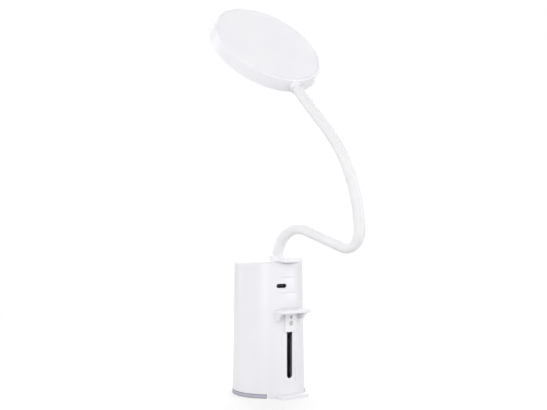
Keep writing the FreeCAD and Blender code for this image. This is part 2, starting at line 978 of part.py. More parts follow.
def jaw_slider():
    """Tab with a curved gusset at each side, the tongue on the flat and the rib in the slot."""
    body = new_body("jaw_slider")
    top = size.tab_top_z
    root_z = top - size.tab_root_thickness
    clear = jaw_clear_radius()
    half = size.tab_half_width
    plate = new_sketch(body, "XY_Plane", "plate", top - size.tab_thickness)
    rectangle(plate, -half, half, size.rear_wall_y, size.tab_reach_y)
    pad(body, plate, size.tab_thickness)
    reach = size.tab_reach_y.value
    round_edges(
        body,
        size.tab_corner_round,
        lambda e: upright_edge(e) and abs(e.BoundBox.YMax - reach) < 1e-4,
    )
    round_edges(
        body,
        size.tab_edge_round,
        lambda e: e.BoundBox.YMax > reach - 1e-4 and not upright_edge(e),
    )
    gusset_end = size.tab_reach_y - size.tab_corner_round - size.gusset_end_inset
    outer = half - size.gusset_side_inset
    for side, low_x in (("near", outer - size.gusset_width), ("far", -outer)):
        gusset = new_sketch(body, "YZ_Plane", f"{side}_gusset", low_x)
        outline(
            gusset,
            [
                (size.rear_wall_y, root_z),
                (clear, root_z, size.gusset_radius, -1),
                (gusset_end, top - size.tab_thickness),
                (gusset_end, top - size.tab_thickness / 2),
                (size.rear_wall_y, top - size.tab_thickness / 2),
            ],
        )
        pad(body, gusset, size.gusset_width)
    wall = new_sketch(body, "XY_Plane", "wall", root_z - 1)
    circle(wall, 0, 0, clear)
    cut(body, wall, size.tab_root_thickness + 3, backwards=True)
    channel_face = size.channel_floor_y + size.running_gap
    bridge = new_sketch(body, "XY_Plane", "bridge", root_z)
    rectangle(bridge, -size.tongue_half_width, size.tongue_half_width, channel_face, clear + 1)
    pad(body, bridge, size.tab_root_thickness)
    tongue = new_sketch(body, "XY_Plane", "tongue", size.tongue_bottom_z)
    rectangle(
        tongue, -size.tongue_half_width, size.tongue_half_width, channel_face, size.tongue_face_y
    )
    pad(body, tongue, root_z - size.tongue_bottom_z + 1)
    rib = new_sketch(body, "XY_Plane", "rib", size.rib_bottom_z)
    rib_half = size.slot_half_width - size.running_gap
    rectangle(rib, -rib_half, rib_half, size.rear_wall_y - size.running_gap, size.tongue_face_y)
    pad(body, rib, size.rib_top_z - size.rib_bottom_z)
    shanks = new_sketch(body, "XZ_Plane", "shanks", -size.tongue_face_y - 1)
    heads = new_sketch(body, "XZ_Plane", "heads", -size.tongue_face_y - 1)
    for height, head in slider_screw_rows():
        circle(shanks, 0, height, size.screw_shank_radius + size.screw_gap)
        circle(heads, 0, height, head + size.head_gap)
    cut(body, heads, size.screw_recess_depth + size.screw_head_height + 1, backwards=True)
    cut(body, shanks, 12, backwards=True)


def slider_screw_rows():
    """Height and head radius of the two screws that join the jaw to its block."""
    return [
        (size.tab_top_z - size.upper_screw_drop, size.upper_screw_head_radius),
        (size.tab_top_z - size.lower_screw_drop, size.lower_screw_head_radius),
    ]


def slider_block():
    """Block behind the slot that holds the jaw in its channel and carries the spring's lug."""
    body = new_body("slider_block")
    face = size.rear_wall_y - size.running_gap
    plate = new_sketch(body, "XZ_Plane", "plate", -face)
    half = size.block_half_width
    rectangle(plate, -half, half, size.tongue_bottom_z, size.block_top_z)
    pad(body, plate, size.block_thickness)
    lug = new_sketch(body, "XY_Plane", "lug", size.tongue_bottom_z)
    rear = face - size.block_thickness / 2
    outline(
        lug,
        [
            (size.lug_x + size.lug_radius, rear),
            (size.lug_x - size.lug_radius, rear),
            (size.lug_x - size.lug_radius, size.lug_y, size.lug_radius, 1),
            (size.lug_x + size.lug_radius, size.lug_y),
        ],
    )
    pad(body, lug, size.lug_height)
    holes = new_sketch(body, "XZ_Plane", "screw_holes", -face - 1)
    for height, _ in slider_screw_rows():
        circle(holes, 0, height, size.screw_shank_radius + size.screw_gap)
    cut(body, holes, size.block_thickness + 2, backwards=True)


def slider_screws():
    members = []
    for number, (height, head) in enumerate(slider_screw_rows(), start=1):
        seat = size.tongue_face_y - size.screw_recess_depth - size.screw_head_height
        screw = turned_screw(
            f"slider_screw_{number}",
            head,
            size.screw_head_height,
            size.screw_shank_radius,
            seat - (size.rear_wall_y - size.running_gap - size.block_thickness) - size.fit_gap,
        )
        # The screw goes in from the back, so its shank points to the front.
        screw.Placement = Placement(
            Vector(0, seat.value, height.value), Rotation(Vector(1, 0, 0), 90)
        )
        members.append(screw)
    group("slider_screws", members)


def jaw_spring():
    """Extension spring between the slider block's lug and the pin in the wall."""
    bottom = size.tongue_bottom_z + size.lug_height
    length = size.spring_pin_z - size.spring_pin_radius - bottom - 2 * size.spring_wire_radius
    radius = size.spring_radius.value
    wire = size.spring_wire_radius.value
    turns = round(length.value / size.spring_pitch.value)
    coil = Part.makeHelix(length.value / turns, length.value, radius)
    section = Part.Wire(
        Part.Circle(Vector(radius, 0, 0), Vector(0, 1, 0), wire).toShape()
    )
    shape = Part.Wire(coil).makePipeShell([section], True, True)
    spring = doc.addObject("Part::Feature", "jaw_spring")
    spring.Label = "jaw_spring"
    spring.Shape = shape
    spring.Placement = Placement(
        Vector(size.lug_x.value, size.lug_y.value, bottom.value + wire), Rotation()
    )
    nodes.append(spring)


def spring_pin():
    body = new_body("spring_pin")
    end = new_sketch(body, "XZ_Plane", "end", -size.rear_wall_y)
    circle(end, size.lug_x, size.spring_pin_z, size.spring_pin_radius)
    pad(body, end, size.rear_wall_y - size.lug_y + size.lug_radius)


def usb_c_socket():
    """Charging receptacle: a drawn steel shell with the contact tongue inside."""
    body = new_body("usb_c_socket")
    mouth = shell_radius(size.inlet_z) - size.inlet_recess
    outside = new_sketch(body, "XZ_Plane", "outside", -mouth)
    long_hole(outside, size.socket_width, size.socket_height, size.inlet_z)
    pad(body, outside, size.socket_length)
    inside = new_sketch(body, "XZ_Plane", "inside", -mouth - 1)
    wall = size.socket_wall * 2
    long_hole(inside, size.socket_width - wall, size.socket_height - wall, size.inlet_z)
    cut(body, inside, size.socket_length - size.socket_back + 1, backwards=True)
    tongue = new_sketch(body, "XZ_Plane", "tongue", size.socket_tongue_inset - mouth)
    half_width = size.socket_tongue_width / 2
    half_height = size.socket_tongue_height / 2
    rectangle(
        tongue, -half_width, half_width, size.inlet_z - half_height, size.inlet_z + half_height
    )
    pad(body, tongue, size.socket_length - size.socket_tongue_inset - size.socket_back / 2)
    body.Placement = Placement(Vector(), Rotation(Vector(0, 0, 1), -size.inlet_angle.value))


def battery_holder():
    """Chassis: a floor, a bridge over the cells and two uprights that carry the main board."""
    body = new_body("battery_holder")
    floor_z = size.foot_height
    floor = new_sketch(body, "XY_Plane", "floor", floor_z)
    radius = size.inner_radius - size.holder_edge_gap
    chord_y = size.rear_wall_y - size.holder_rear_gap
    half_chord = root(radius * radius - chord_y * chord_y)
    outline(floor, [(half_chord, chord_y), (-half_chord, chord_y, radius, 2)])
    pad(body, floor, size.holder_plate)
    for side, name in ((1, "right"), (-1, "left")):
        upright = new_sketch(body, "XY_Plane", f"{name}_upright", floor_z)
        inner = size.upright_x * side
        outer = (size.upright_x + size.upright_thickness) * side
        low, high = (inner, outer) if side > 0 else (outer, inner)
        depth = size.upright_half_depth
        rectangle(upright, low, high, size.cell_y - depth, size.cell_y + depth)
        pad(body, upright, size.board_z - floor_z)
    bridge_z = size.holder_top_z + size.cell_height + size.running_gap
    bridge = new_sketch(body, "XY_Plane", "bridge", bridge_z)
    rectangle(
        bridge,
        -size.upright_x - size.upright_thickness,
        size.upright_x + size.upright_thickness,
        size.cell_y - size.upright_half_depth,
        size.cell_y + size.upright_half_depth,
    )
    pad(body, bridge, size.holder_plate)
    holes = new_sketch(body, "XY_Plane", "screw_holes")
    for x, y in bottom_screw_places():
        circle(holes, x, y, size.bottom_screw_shank_radius + size.screw_gap)
    cut(body, holes, size.holder_top_z + 1, backwards=True)


def battery_cells():
    """Two lithium cells side by side, each with its raised end."""
    members = []
    for number, side in enumerate((-1, 1), start=1):
        can = doc.addObject("Part::Cylinder", f"cell_{number}_can")
        can.setExpression("Radius", size.cell_radius.text)
        can.setExpression("Height", (size.cell_height - size.cell_tip_height).text)
        tip = doc.addObject("Part::Cylinder", f"cell_{number}_tip")
        tip.setExpression("Radius", size.cell_tip_radius.text)
        tip.setExpression("Height", (size.cell_tip_height * 2).text)
        tip_z = size.cell_height - size.cell_tip_height * 2
        tip.Placement = Placement(Vector(0, 0, tip_z.value), Rotation())
        cell = doc.addObject("Part::Fuse", f"cell_{number}")
        cell.Base = can
        cell.Tool = tip
        cell.Placement = Placement(
            Vector(
                size.cell_x.value * side,
                size.cell_y.value,
                size.holder_top_z.value,
            ),
            Rotation(),
        )
        members.append(cell)
    group("battery_cells", members)


def main_board():
    """Round circuit board, notched for the spring and cut flat along the back wall."""
    body = new_body("main_board")
    outline_sketch = new_sketch(body, "XY_Plane", "outline", size.board_z)
    chord_y = size.rear_wall_y - size.board_rear_gap
    radius = size.board_radius
    half_chord = root(radius * radius - chord_y * chord_y)
    outline(outline_sketch, [(half_chord, chord_y), (-half_chord, chord_y, radius, 2)])
    pad(body, outline_sketch, size.board_thickness)
    notch = new_sketch(body, "XY_Plane", "notch", size.board_z - 1)
    room = size.spring_radius + size.spring_wire_radius + size.spring_notch_room
    rectangle(notch, size.lug_x - room, size.lug_x + room, size.lug_y - room, size.rear_wall_y + 1)
    cut(body, notch, size.board_thickness + 2, backwards=True)


def box(label, x, y, z, length, width, height):
    """A plain block on the board, centred on x, y and standing on z."""
    block = doc.addObject("Part::Box", label)
    for name, value in (("Length", length), ("Width", width), ("Height", height)):
        block.setExpression(name, as_size(value).text)
    block.Placement = Placement(
        Vector(
            as_size(x).value - as_size(length).value / 2,
            as_size(y).value - as_size(width).value / 2,
            as_size(z).value,
        ),
        Rotation(),
    )
    return block


def board_parts():
    """Charger chip, driver chip, coil and battery plug on the main board."""
    top = size.board_top_z
    across = size.board_radius
    chip = (size.chip_size, size.chip_size, size.chip_height)
    plug = (size.plug_length, size.plug_width, size.plug_height)
    members = [
        box("charger_chip", across * 0.45, across * 0.3, top, *chip),
        box("driver_chip", across * -0.3, across * 0.15, top, *chip),
        box("battery_plug", across * -0.63, across * -0.15, top, *plug),
    ]
    coil = doc.addObject("Part::Cylinder", "coil")
    coil.setExpression("Radius", size.coil_radius.text)
    coil.setExpression("Height", size.coil_height.text)
    coil.Placement = Placement(
        Vector(across.value * 0.52, across.value * -0.22, top.value), Rotation()
    )
    group("board_parts", members + [coil])


def button_flange_face():
    """How far forward the button's flange reaches: just inside the round wall."""
    radius = size.inner_radius
    flange = size.button_flange_radius
    return root(radius * radius - flange * flange) - size.running_gap


def stem_end():
    """Front end of the switch's stem, which the button reaches when it is pressed."""
    return button_flange_face() - size.button_flange - size.button_travel - size.running_gap


def power_button():
    """Round push button through the front wall, with a flange behind the wall."""
    body = new_body("power_button")
    flange_face = button_flange_face()
    flange = new_sketch(body, "XZ_Plane", "flange", flange_face - size.button_flange)
    circle(flange, 0, size.button_z, size.button_flange_radius)
    pad(body, flange, size.button_flange)
    cap = new_sketch(body, "XZ_Plane", "cap", flange_face - size.button_flange / 2)
    circle(cap, 0, size.button_z, size.button_radius)
    face = shell_radius(size.button_z) + size.button_proud
    pad(body, cap, face - flange_face + size.button_flange / 2)
    face_y = -face.value
    round_edges(
        body,
        size.button_edge_round,
        lambda e: abs(e.BoundBox.YMin - face_y) < 1e-4 and e.BoundBox.YLength < 1e-4,
    )


def button_switch():
    """Push switch that the button presses."""
    body = new_body("button_switch")
    half = size.switch_half_width
    case_face = stem_end() - size.switch_stem
    case = new_sketch(body, "XZ_Plane", "case", case_face - size.switch_depth)
    rectangle(case, -half, half, size.button_z - half, size.button_z + half)
    pad(body, case, size.switch_depth)
    stem = new_sketch(body, "XZ_Plane", "stem", case_face - size.switch_depth / 2)
    circle(stem, 0, size.button_z, size.switch_stem_radius)
    pad(body, stem, size.switch_stem + size.switch_depth / 2)


def switch_board():
    """Small upright board on the main board, which carries the push switch."""
    body = new_body("switch_board")
    face = stem_end() - size.switch_stem - size.switch_depth
    plate = new_sketch(body, "XZ_Plane", "plate", face - size.board_thickness)
    half = size.switch_board_half_width
    rectangle(plate, -half, half, size.board_top_z, size.board_top_z + size.switch_board_height)
    pad(body, plate, size.board_thickness)


def neck_collar():
    """Ring on the top round the neck's root."""
    low = size.base_height
    high = low + size.collar_height
    body = turned_piece(
        "neck_collar",
        [
            (size.collar_bore, low),
            (size.collar_radius, low),
            (size.collar_radius, high - size.collar_chamfer),
            (size.collar_radius - size.collar_chamfer, high),
            (size.collar_bore, high),
        ],
    )
    body.Placement = Placement(Vector(0, size.collar_y.value, 0), Rotation())


def neck_nut():
    """Hexagonal nut that holds the neck's ferrule under the top wall."""
    nut = doc.addObject("Part::Prism", "nut_blank")
    nut.Polygon = 6
    nut.setExpression("Circumradius", size.nut_radius.text)
    nut.setExpression("Height", size.nut_height.text)
    bore = doc.addObject("Part::Cylinder", "nut_bore")
    bore.setExpression("Radius", (size.ferrule_radius + size.screw_gap).text)
    bore.setExpression("Height", size.nut_height.text)
    piece = doc.addObject("Part::Cut", "neck_nut")
    piece.Label = "neck_nut"
    piece.Base = nut
    piece.Tool = bore
    top = size.base_height - size.shell_top_wall - size.nut_height
    piece.Placement = Placement(Vector(0, size.collar_y.value, top.value), Rotation())
    nodes.append(piece)


# ---- neck --------------------------------------------------------------------------------

# The neck lies in an upright plane through its collar. In that plane x runs to the back and
# z up, and the neck's line is straight runs joined by tangent arcs.

NECK_PLANE = Placement(
    Vector(0, size.collar_y.value, size.base_height.value),
    Rotation(Vector(0, 0, 1), 90 + size.neck_turn_of_plane.value),
)


def neck_line():
    """Pieces of the neck's line: (length, start point, start direction, curvature)."""
    runs = [
        (size.neck_rise.value, 0),
        (size.first_bend_radius.value, -size.first_bend_angle.value),
        (size.middle_straight.value, 0),
        (size.second_bend_radius.value, size.second_bend_angle.value),
        (size.long_arc_radius.value, size.long_arc_angle.value),
        (size.last_straight.value, 0),
    ]
    line = []
    point, heading = Vector(0, 0, 0), math.pi / 2
    for amount, turn in runs:
        turn = math.radians(turn)
        length = abs(turn) * amount if turn else amount
        curvature = turn / length if turn else 0.0
        line.append((length, point, heading, curvature))
        point, heading = step(point, heading, curvature, length)
    return line


def step(point, heading, curvature, length):
    """Point and heading after a length of straight or arc."""
    if curvature == 0:
        move = Vector(math.cos(heading), 0, math.sin(heading)) * length
        return point + move, heading
    turned = heading + curvature * length
    move = Vector(
        math.sin(turned) - math.sin(heading), 0, math.cos(heading) - math.cos(turned)
    )
    return point + move * (1 / curvature), turned


def at_length(along):
    """Point and heading of the neck's line at a distance from the collar."""
    for length, point, heading, curvature in neck_line():
        if along <= length + 1e-9:
            return step(point, heading, curvature, along)
        along -= length
    return step(point, heading, curvature, length)


def neck_length():
    return sum(run[0] for run in neck_line())


def line_between(start, end):
    """Edges of the neck's line from one distance to another."""
    edges = []
    passed = 0.0
    for length, point, heading, curvature in neck_line():
        first = max(start - passed, 0.0)
        last = min(end - passed, length)
        passed += length
        if last - first < 1e-6:
            continue
        a, _ = step(point, heading, curvature, first)
        b, _ = step(point, heading, curvature, last)
        if curvature == 0:
            edges.append(Part.makeLine(a, b))
        else:
            middle, _ = step(point, heading, curvature, (first + last) / 2)
            edges.append(Part.Arc(a, middle, b).toShape())
    return edges


def neck_piece(start, end, cup, ball):
    """One link of the neck: round, with a cup at its start and a ball at its end if asked."""
    radius = size.neck_radius.value
    point, heading = at_length(start)
    forward = Vector(math.cos(heading), 0, math.sin(heading))
    section = Part.Wire(Part.Circle(point, forward, radius).toShape())
    shape = Part.Wire(line_between(start, end)).makePipeShell([section], True, False)
    if cup:
        shape = shape.cut(Part.makeSphere(radius + size.joint_gap.value, point))
    last, heading = at_length(end)
    forward = Vector(math.cos(heading), 0, math.sin(heading))
    if ball:
        shape = shape.fuse(Part.makeSphere(radius, last, forward, 0, 90, 360))
    return shape, point, last, forward


def neck_stations():
    """Distances along the neck at which its links meet, counted from both of its ends."""
    from_base = [0.0]
    for alias in ("root_length", "link_1_length", "link_2_length"):
        from_base.append(from_base[-1] + sheet.get(alias))
    from_head = [neck_length()]
    for alias in ("tip_length", "link_5_length", "link_4_length"):
        from_head.append(from_head[-1] - sheet.get(alias))
    return from_base + from_head[::-1]


def neck_links():
    stations = neck_stations()
    labels = ["neck_root", *(f"neck_link_{n}" for n in range(1, 6)), "neck_tip"]
    for label, start_at, end_at in zip(labels, stations, stations[1:]):
        first = label == labels[0]
        final = label == labels[-1]
        shape, start, end, forward = neck_piece(start_at, end_at, cup=not first, ball=not final)
        if first:
            depth = (size.shell_top_wall + size.nut_height + size.ferrule_end).value
            shape = shape.fuse(
                Part.makeCylinder(size.ferrule_radius.value, depth, start, Vector(0, 0, -1))
            )
        if final:
            depth = (size.head_centre_from_neck - ferrule_clamp_start()).value
            shape = shape.fuse(
                Part.makeCylinder(size.head_ferrule_radius.value, depth, end, forward)
            )
        link = doc.addObject("Part::Feature", label)
        link.Label = label
        link.Shape = shape.removeSplitter()
        link.Placement = NECK_PLANE
        nodes.append(link)


# ---- head --------------------------------------------------------------------------------

# The head's own frame: z = 0 is half way through its thickness, +Z is its back, which faces
# up and to the clamp side, and +X points at the neck.


def head_placement():
    end, heading = at_length(neck_length())
    forward = NECK_PLANE.Rotation.multVec(Vector(math.cos(heading), 0, math.sin(heading)))
    centre = NECK_PLANE.multVec(end) + forward * size.head_centre_from_neck.value
    sideways = forward.cross(Vector(0, 0, 1)).normalize()
    level_back = sideways.cross(forward)
    roll = math.radians(size.head_roll.value)
    back = level_back * math.cos(roll) + sideways * math.sin(roll)
    return Placement(centre, Rotation(-forward, Vector(), back, "ZXY"))


def place_in_head(piece):
    piece.Placement = head_placement()


def head_side(z):
    """Outer radius of the head's side wall at height z."""
    slope = (size.head_back_radius - size.head_front_radius) / size.head_thickness
    return size.head_middle_radius + slope * z


def head_back_cover():
    body = new_body("head_back_cover")
    half = size.head_thickness / 2
    wall = size.head_wall
    profile = new_sketch(body, "XZ_Plane", "profile")
    outline(
        profile,
        [
            (0, half - wall),
            (head_side(half - wall) - wall, half - wall),
            (head_side(-half) - wall, -half),
            (head_side(-half), -half),
            (head_side(half), half),
            (0, half),
        ],
    )
    revolve(body, profile)
    edge_z = half.value
    round_edges(
        body,
        size.head_edge_round,
        lambda e: flat_edge_at(edge_z)(e) and e.Length > size.head_back_radius.value,
    )
    round_edges(
        body,
        size.head_front_round,
        lambda e: flat_edge_at(-edge_z)(e) and e.Length > 6.28 * (size.head_front_radius.value - 1),
    )
    groove = new_sketch(body, "XZ_Plane", "groove")
    radius = size.head_groove_radius
    width = size.head_groove_width
    rectangle(groove, radius, radius + width, half - size.head_groove_depth, half + 1)
    revolve(body, groove, groove=True)
    side = size.head_middle_radius
    root_x = side - size.head_collar_root
    collar = new_sketch(body, "YZ_Plane", "collar", root_x)
    circle(collar, 0, 0, size.head_collar_radius)
    pad(body, collar, size.head_collar_length + size.head_collar_root)
    socket = new_sketch(body, "YZ_Plane", "socket", size.head_centre_from_neck)
    circle(socket, 0, 0, size.neck_radius + size.fit_gap)
    cut(body, socket, 10, backwards=True)
    bore = new_sketch(body, "YZ_Plane", "bore", side - wall * 2)
    circle(bore, 0, 0, size.head_ferrule_radius + size.fit_gap)
    cut(body, bore, size.head_centre_from_neck, backwards=True)
    place_in_head(body)


def light_ring():
    """Ring on the light side that holds the diffuser."""
    half = size.head_thickness / 2
    low = -half + size.light_ring_inset
    high = low + size.light_ring_depth
    gap = size.head_wall + size.fit_gap
    body = turned_piece(
        "light_ring",
        [
            (size.light_ring_radius, low),
            (head_side(low) - gap, low),
            (head_side(high) - gap, high),
            (size.light_ring_radius + size.diffuser_lap, high),
            (size.light_ring_radius + size.diffuser_lap, low + size.light_ring_lip),
            (size.light_ring_radius, low + size.light_ring_lip),
        ],
    )
    place_in_head(body)


def diffuser():
    """Frosted disc that drops into the light ring."""
    low = size.light_ring_inset + size.light_ring_lip - size.head_thickness / 2
    radius = size.light_ring_radius + size.diffuser_lap - size.fit_gap
    disc_in_head("diffuser", radius, low, size.diffuser_thickness)


def disc_in_head(label, radius, low, thickness):
    high = low + thickness
    body = turned_piece(label, [(0, low), (radius, low), (radius, high), (0, high)])
    place_in_head(body)


def light_boards():
    roof = size.head_thickness / 2 - size.head_wall
    heat_low = roof - size.heat_plate_thickness
    board_low = heat_low - size.led_board_thickness
    board_radius = ferrule_clamp_start() - size.led_board_gap
    ring_radius = board_radius - size.led_ring_inset
    disc_in_head("heat_plate", board_radius, heat_low, size.heat_plate_thickness)
    disc_in_head("led_board", board_radius, board_low, size.led_board_thickness)
    place = head_placement()
    members = []
    for count, radius in ((24, ring_radius), (12, ring_radius / 2)):
        for number in range(count):
            chip = box(
                f"led_{count}_{number + 1}",
                0,
                0,
                0,
                size.led_size,
                size.led_size,
                size.led_height,
            )
            turn = Rotation(Vector(0, 0, 1), 360 * number / count)
            spot = turn.multVec(Vector(radius.value, 0, (board_low - size.led_height).value))
            centred = chip.Placement
            chip.Placement = place.multiply(Placement(spot, turn)).multiply(centred)
            members.append(chip)
    group("led_chips", members)


def ferrule_clamp_end():
    """Distance of the clamp's outer end from the head's centre, just inside the sloping wall."""
    half = size.head_thickness / 2
    roof = half - size.head_wall
    floor = -size.head_ferrule_radius
    narrow = min(head_side(roof), head_side(floor), key=lambda side: side.value)
    return narrow - size.head_wall - size.running_gap


def ferrule_clamp_start():
    return ferrule_clamp_end() - size.clamp_length


def ferrule_clamp():
    """Block inside the head that grips the neck's ferrule."""
    body = new_body("ferrule_clamp")
    start = ferrule_clamp_start()
    face = new_sketch(body, "YZ_Plane", "face", start)
    roof = size.head_thickness / 2 - size.head_wall
    half = size.clamp_half_width
    rectangle(face, -half, half, -size.head_ferrule_radius, roof)
    pad(body, face, size.clamp_length)
    bore = new_sketch(body, "YZ_Plane", "bore", start - 1)
    circle(bore, 0, 0, size.head_ferrule_radius + size.screw_gap)
    cut(body, bore, size.clamp_length + 2, backwards=True)
    place_in_head(body)


# ---- the lamp ----------------------------------------------------------------------------

base_shell()
foot_pad()
bottom_cover()
bottom_screws()
upper_jaw()
jaw_face_pad(
    "upper_jaw_pad",
    size.base_height - size.pad_thickness,
    size.upper_jaw_half_width - size.pad_edge_inset,
    size.base_radius_top + size.upper_pad_start,
    size.upper_jaw_reach_y - size.pad_edge_inset,
)
jaw_slider()
jaw_face_pad(
    "jaw_pad",
    size.tab_top_z,
    size.tab_half_width - size.pad_edge_inset,
    jaw_clear_radius() + size.pad_edge_inset,
    size.tab_reach_y - size.pad_edge_inset,
)
slider_block()
slider_screws()
jaw_spring()
spring_pin()
usb_c_socket()
battery_holder()
battery_cells()
main_board()
board_parts()
power_button()
button_switch()
switch_board()
neck_collar()
neck_nut()
neck_links()
head_back_cover()
light_ring()
diffuser()
light_boards()
ferrule_clamp()

doc.recompute()
for item in doc.Objects:
    if "Invalid" in item.State or "Error" in item.State:
        raise RuntimeError(f"{item.Label} did not build: {item.State}")
for node in nodes:
    if node.Shape.isNull() or not node.Shape.isValid():
        raise RuntimeError(f"{node.Label} has no valid shape")
for node in nodes:
    node.Shape.exportStep(f"parts/{node.Label}.step")
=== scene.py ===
"""Rechargeable clamp lamp: soft neck, turned covers, fittings, finishes and a small studio."""

import json
import math

import bmesh
import bpy
import numpy as np
from bpy.props import FloatProperty, FloatVectorProperty, IntProperty, PointerProperty
from bpy.types import Operator, Panel, PropertyGroup
from mathutils import Matrix, Vector


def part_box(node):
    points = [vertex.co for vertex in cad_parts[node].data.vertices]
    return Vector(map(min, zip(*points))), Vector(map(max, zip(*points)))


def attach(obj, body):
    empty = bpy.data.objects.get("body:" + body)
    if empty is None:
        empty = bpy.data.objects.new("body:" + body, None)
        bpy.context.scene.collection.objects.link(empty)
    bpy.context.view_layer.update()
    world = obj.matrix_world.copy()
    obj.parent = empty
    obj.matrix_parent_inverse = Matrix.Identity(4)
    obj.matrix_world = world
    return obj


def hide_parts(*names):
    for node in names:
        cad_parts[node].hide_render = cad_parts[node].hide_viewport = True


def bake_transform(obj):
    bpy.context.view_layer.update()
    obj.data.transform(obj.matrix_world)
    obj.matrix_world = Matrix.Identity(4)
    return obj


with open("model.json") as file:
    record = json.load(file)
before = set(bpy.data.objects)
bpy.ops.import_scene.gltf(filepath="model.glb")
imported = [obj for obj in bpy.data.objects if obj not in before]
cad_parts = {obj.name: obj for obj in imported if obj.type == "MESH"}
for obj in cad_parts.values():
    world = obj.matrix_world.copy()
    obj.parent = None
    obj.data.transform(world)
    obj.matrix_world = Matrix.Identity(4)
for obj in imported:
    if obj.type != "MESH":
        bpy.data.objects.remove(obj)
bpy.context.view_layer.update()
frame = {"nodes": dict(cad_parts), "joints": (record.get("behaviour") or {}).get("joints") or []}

bl_info = {
    "name": "Clamp lamp",
    "version": (1, 0, 0),
    "blender": (4, 5, 0),
    "location": "3D View > Sidebar > Clamp lamp",
    "description": "Dresses a rechargeable clamp lamp with its soft neck, covers, finishes and studio",
    "category": "Object",
}

SHELL_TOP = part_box("base_shell")[1].z
JAW_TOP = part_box("jaw_slider")[1].z

# Angle between faces from which their edge is sharp, and steps of a rounded corner.
SHARP_EDGE = math.radians(38)
ARC_STEPS = 6


# ---- sizes and colours ----


def length(name, description, default):
    return FloatProperty(name=name, description=description, default=default, unit="LENGTH")


def angle(name, description, degrees):
    return FloatProperty(
        name=name, description=description, default=math.radians(degrees), subtype="ANGLE"
    )


def share(name, description, default):
    return FloatProperty(
        name=name, description=description, default=default, min=0, max=1, subtype="FACTOR"
    )


def colour(name, description, default):
    return FloatVectorProperty(
        name=name, description=description, default=default, size=3, min=0, max=1, subtype="COLOR"
    )


class NeckSizes(PropertyGroup):
    radius: length("Radius", "Radius of the soft sleeve", 0.0045)
    root_y: length("Root place", "Distance of the neck's root behind the base's axis", 0.0133)
    plane_turn: angle("Turn of the plane", "Turn of the neck's plane to the left", 7)
    rise: length("Rise", "Straight length above the base", 0.0018)
    first_radius: length("First bend", "Radius of the bend above the base", 0.0265)
    first_turn: angle("First turn", "Turn of the bend above the base", 107.2)
    middle: length("Middle", "Straight length between the two tight bends", 0.0435)
    second_radius: length("Second bend", "Radius of the lowest bend", 0.0146)
    second_turn: angle("Second turn", "Turn of the lowest bend", 109.8)
    long_radius: length("Long bend", "Radius of the long gentle bend", 0.128)
    long_turn: angle("Long turn", "Turn of the long gentle bend", 41.4)
    last: length("Last", "Straight length below the head", 0.052)
    bend_reach: length("Bend reach", "Length of sleeve each side of a joint that bends", 0.014)
    row_spacing: length("Row spacing", "Spacing of the sleeve's points along the neck", 0.0008)
    around: IntProperty(name="Around", description="Faces round the sleeve", default=56, min=12)


class HeadSizes(PropertyGroup):
    back_radius: length("Back radius", "Radius of the head's back edge", 0.0503)
    front_radius: length("Front radius", "Radius of the head's light side", 0.0522)
    thickness: length("Thickness", "Thickness of the head", 0.0114)
    wall: length("Wall", "Wall of the back cover", 0.002)
    back_round: length("Back round", "Round of the back edge", 0.0012)
    front_round: length("Front round", "Round of the front edge", 0.0005)
    crown: length("Crown", "Fall of the back face from its middle to its edge", 0.00022)
    groove_radius: length("Groove radius", "Inner radius of the groove in the back", 0.0476)
    groove_width: length("Groove width", "Width of the groove in the back", 0.0007)
    groove_depth: length("Groove depth", "Depth of the groove in the back", 0.0004)
    groove_round: length("Groove round", "Round of the groove's floor", 0.0001)
    inner_round: length("Inner round", "Round of the cover's inner corner", 0.0006)
    roll: angle("Roll", "Roll of the head about the neck's end", -6.7)
    neck_seat: length("Neck seat", "Depth of the neck's end in the collar", 0.00135)
    collar_length: length("Collar length", "Length of the collar outside the head", 0.0036)
    collar_radius: length("Collar radius", "Radius of the collar", 0.0053)
    collar_bore: length("Collar bore", "Radius of the collar's bore", 0.0046)
    collar_round: length("Collar round", "Round of the collar's outer edge", 0.0004)
    diffuser_radius: length("Diffuser radius", "Radius of the frosted disc", 0.0474)
    diffuser_front: length("Diffuser front", "Depth of the disc behind the front edge", 0.0008)
    diffuser_thickness: length("Diffuser thickness", "Thickness of the frosted disc", 0.0018)
    diffuser_round: length("Diffuser round", "Round of the frosted disc's edge", 0.0003)
    diffuser_dome: length("Diffuser dome", "Rise of the frosted disc in its middle", 0.0003)
    led_ring_radius: length("Light ring", "Radius of the outer ring of lights", 0.03403)
    leds: IntProperty(name="Lights", description="Lights in the outer ring", default=24, min=2)


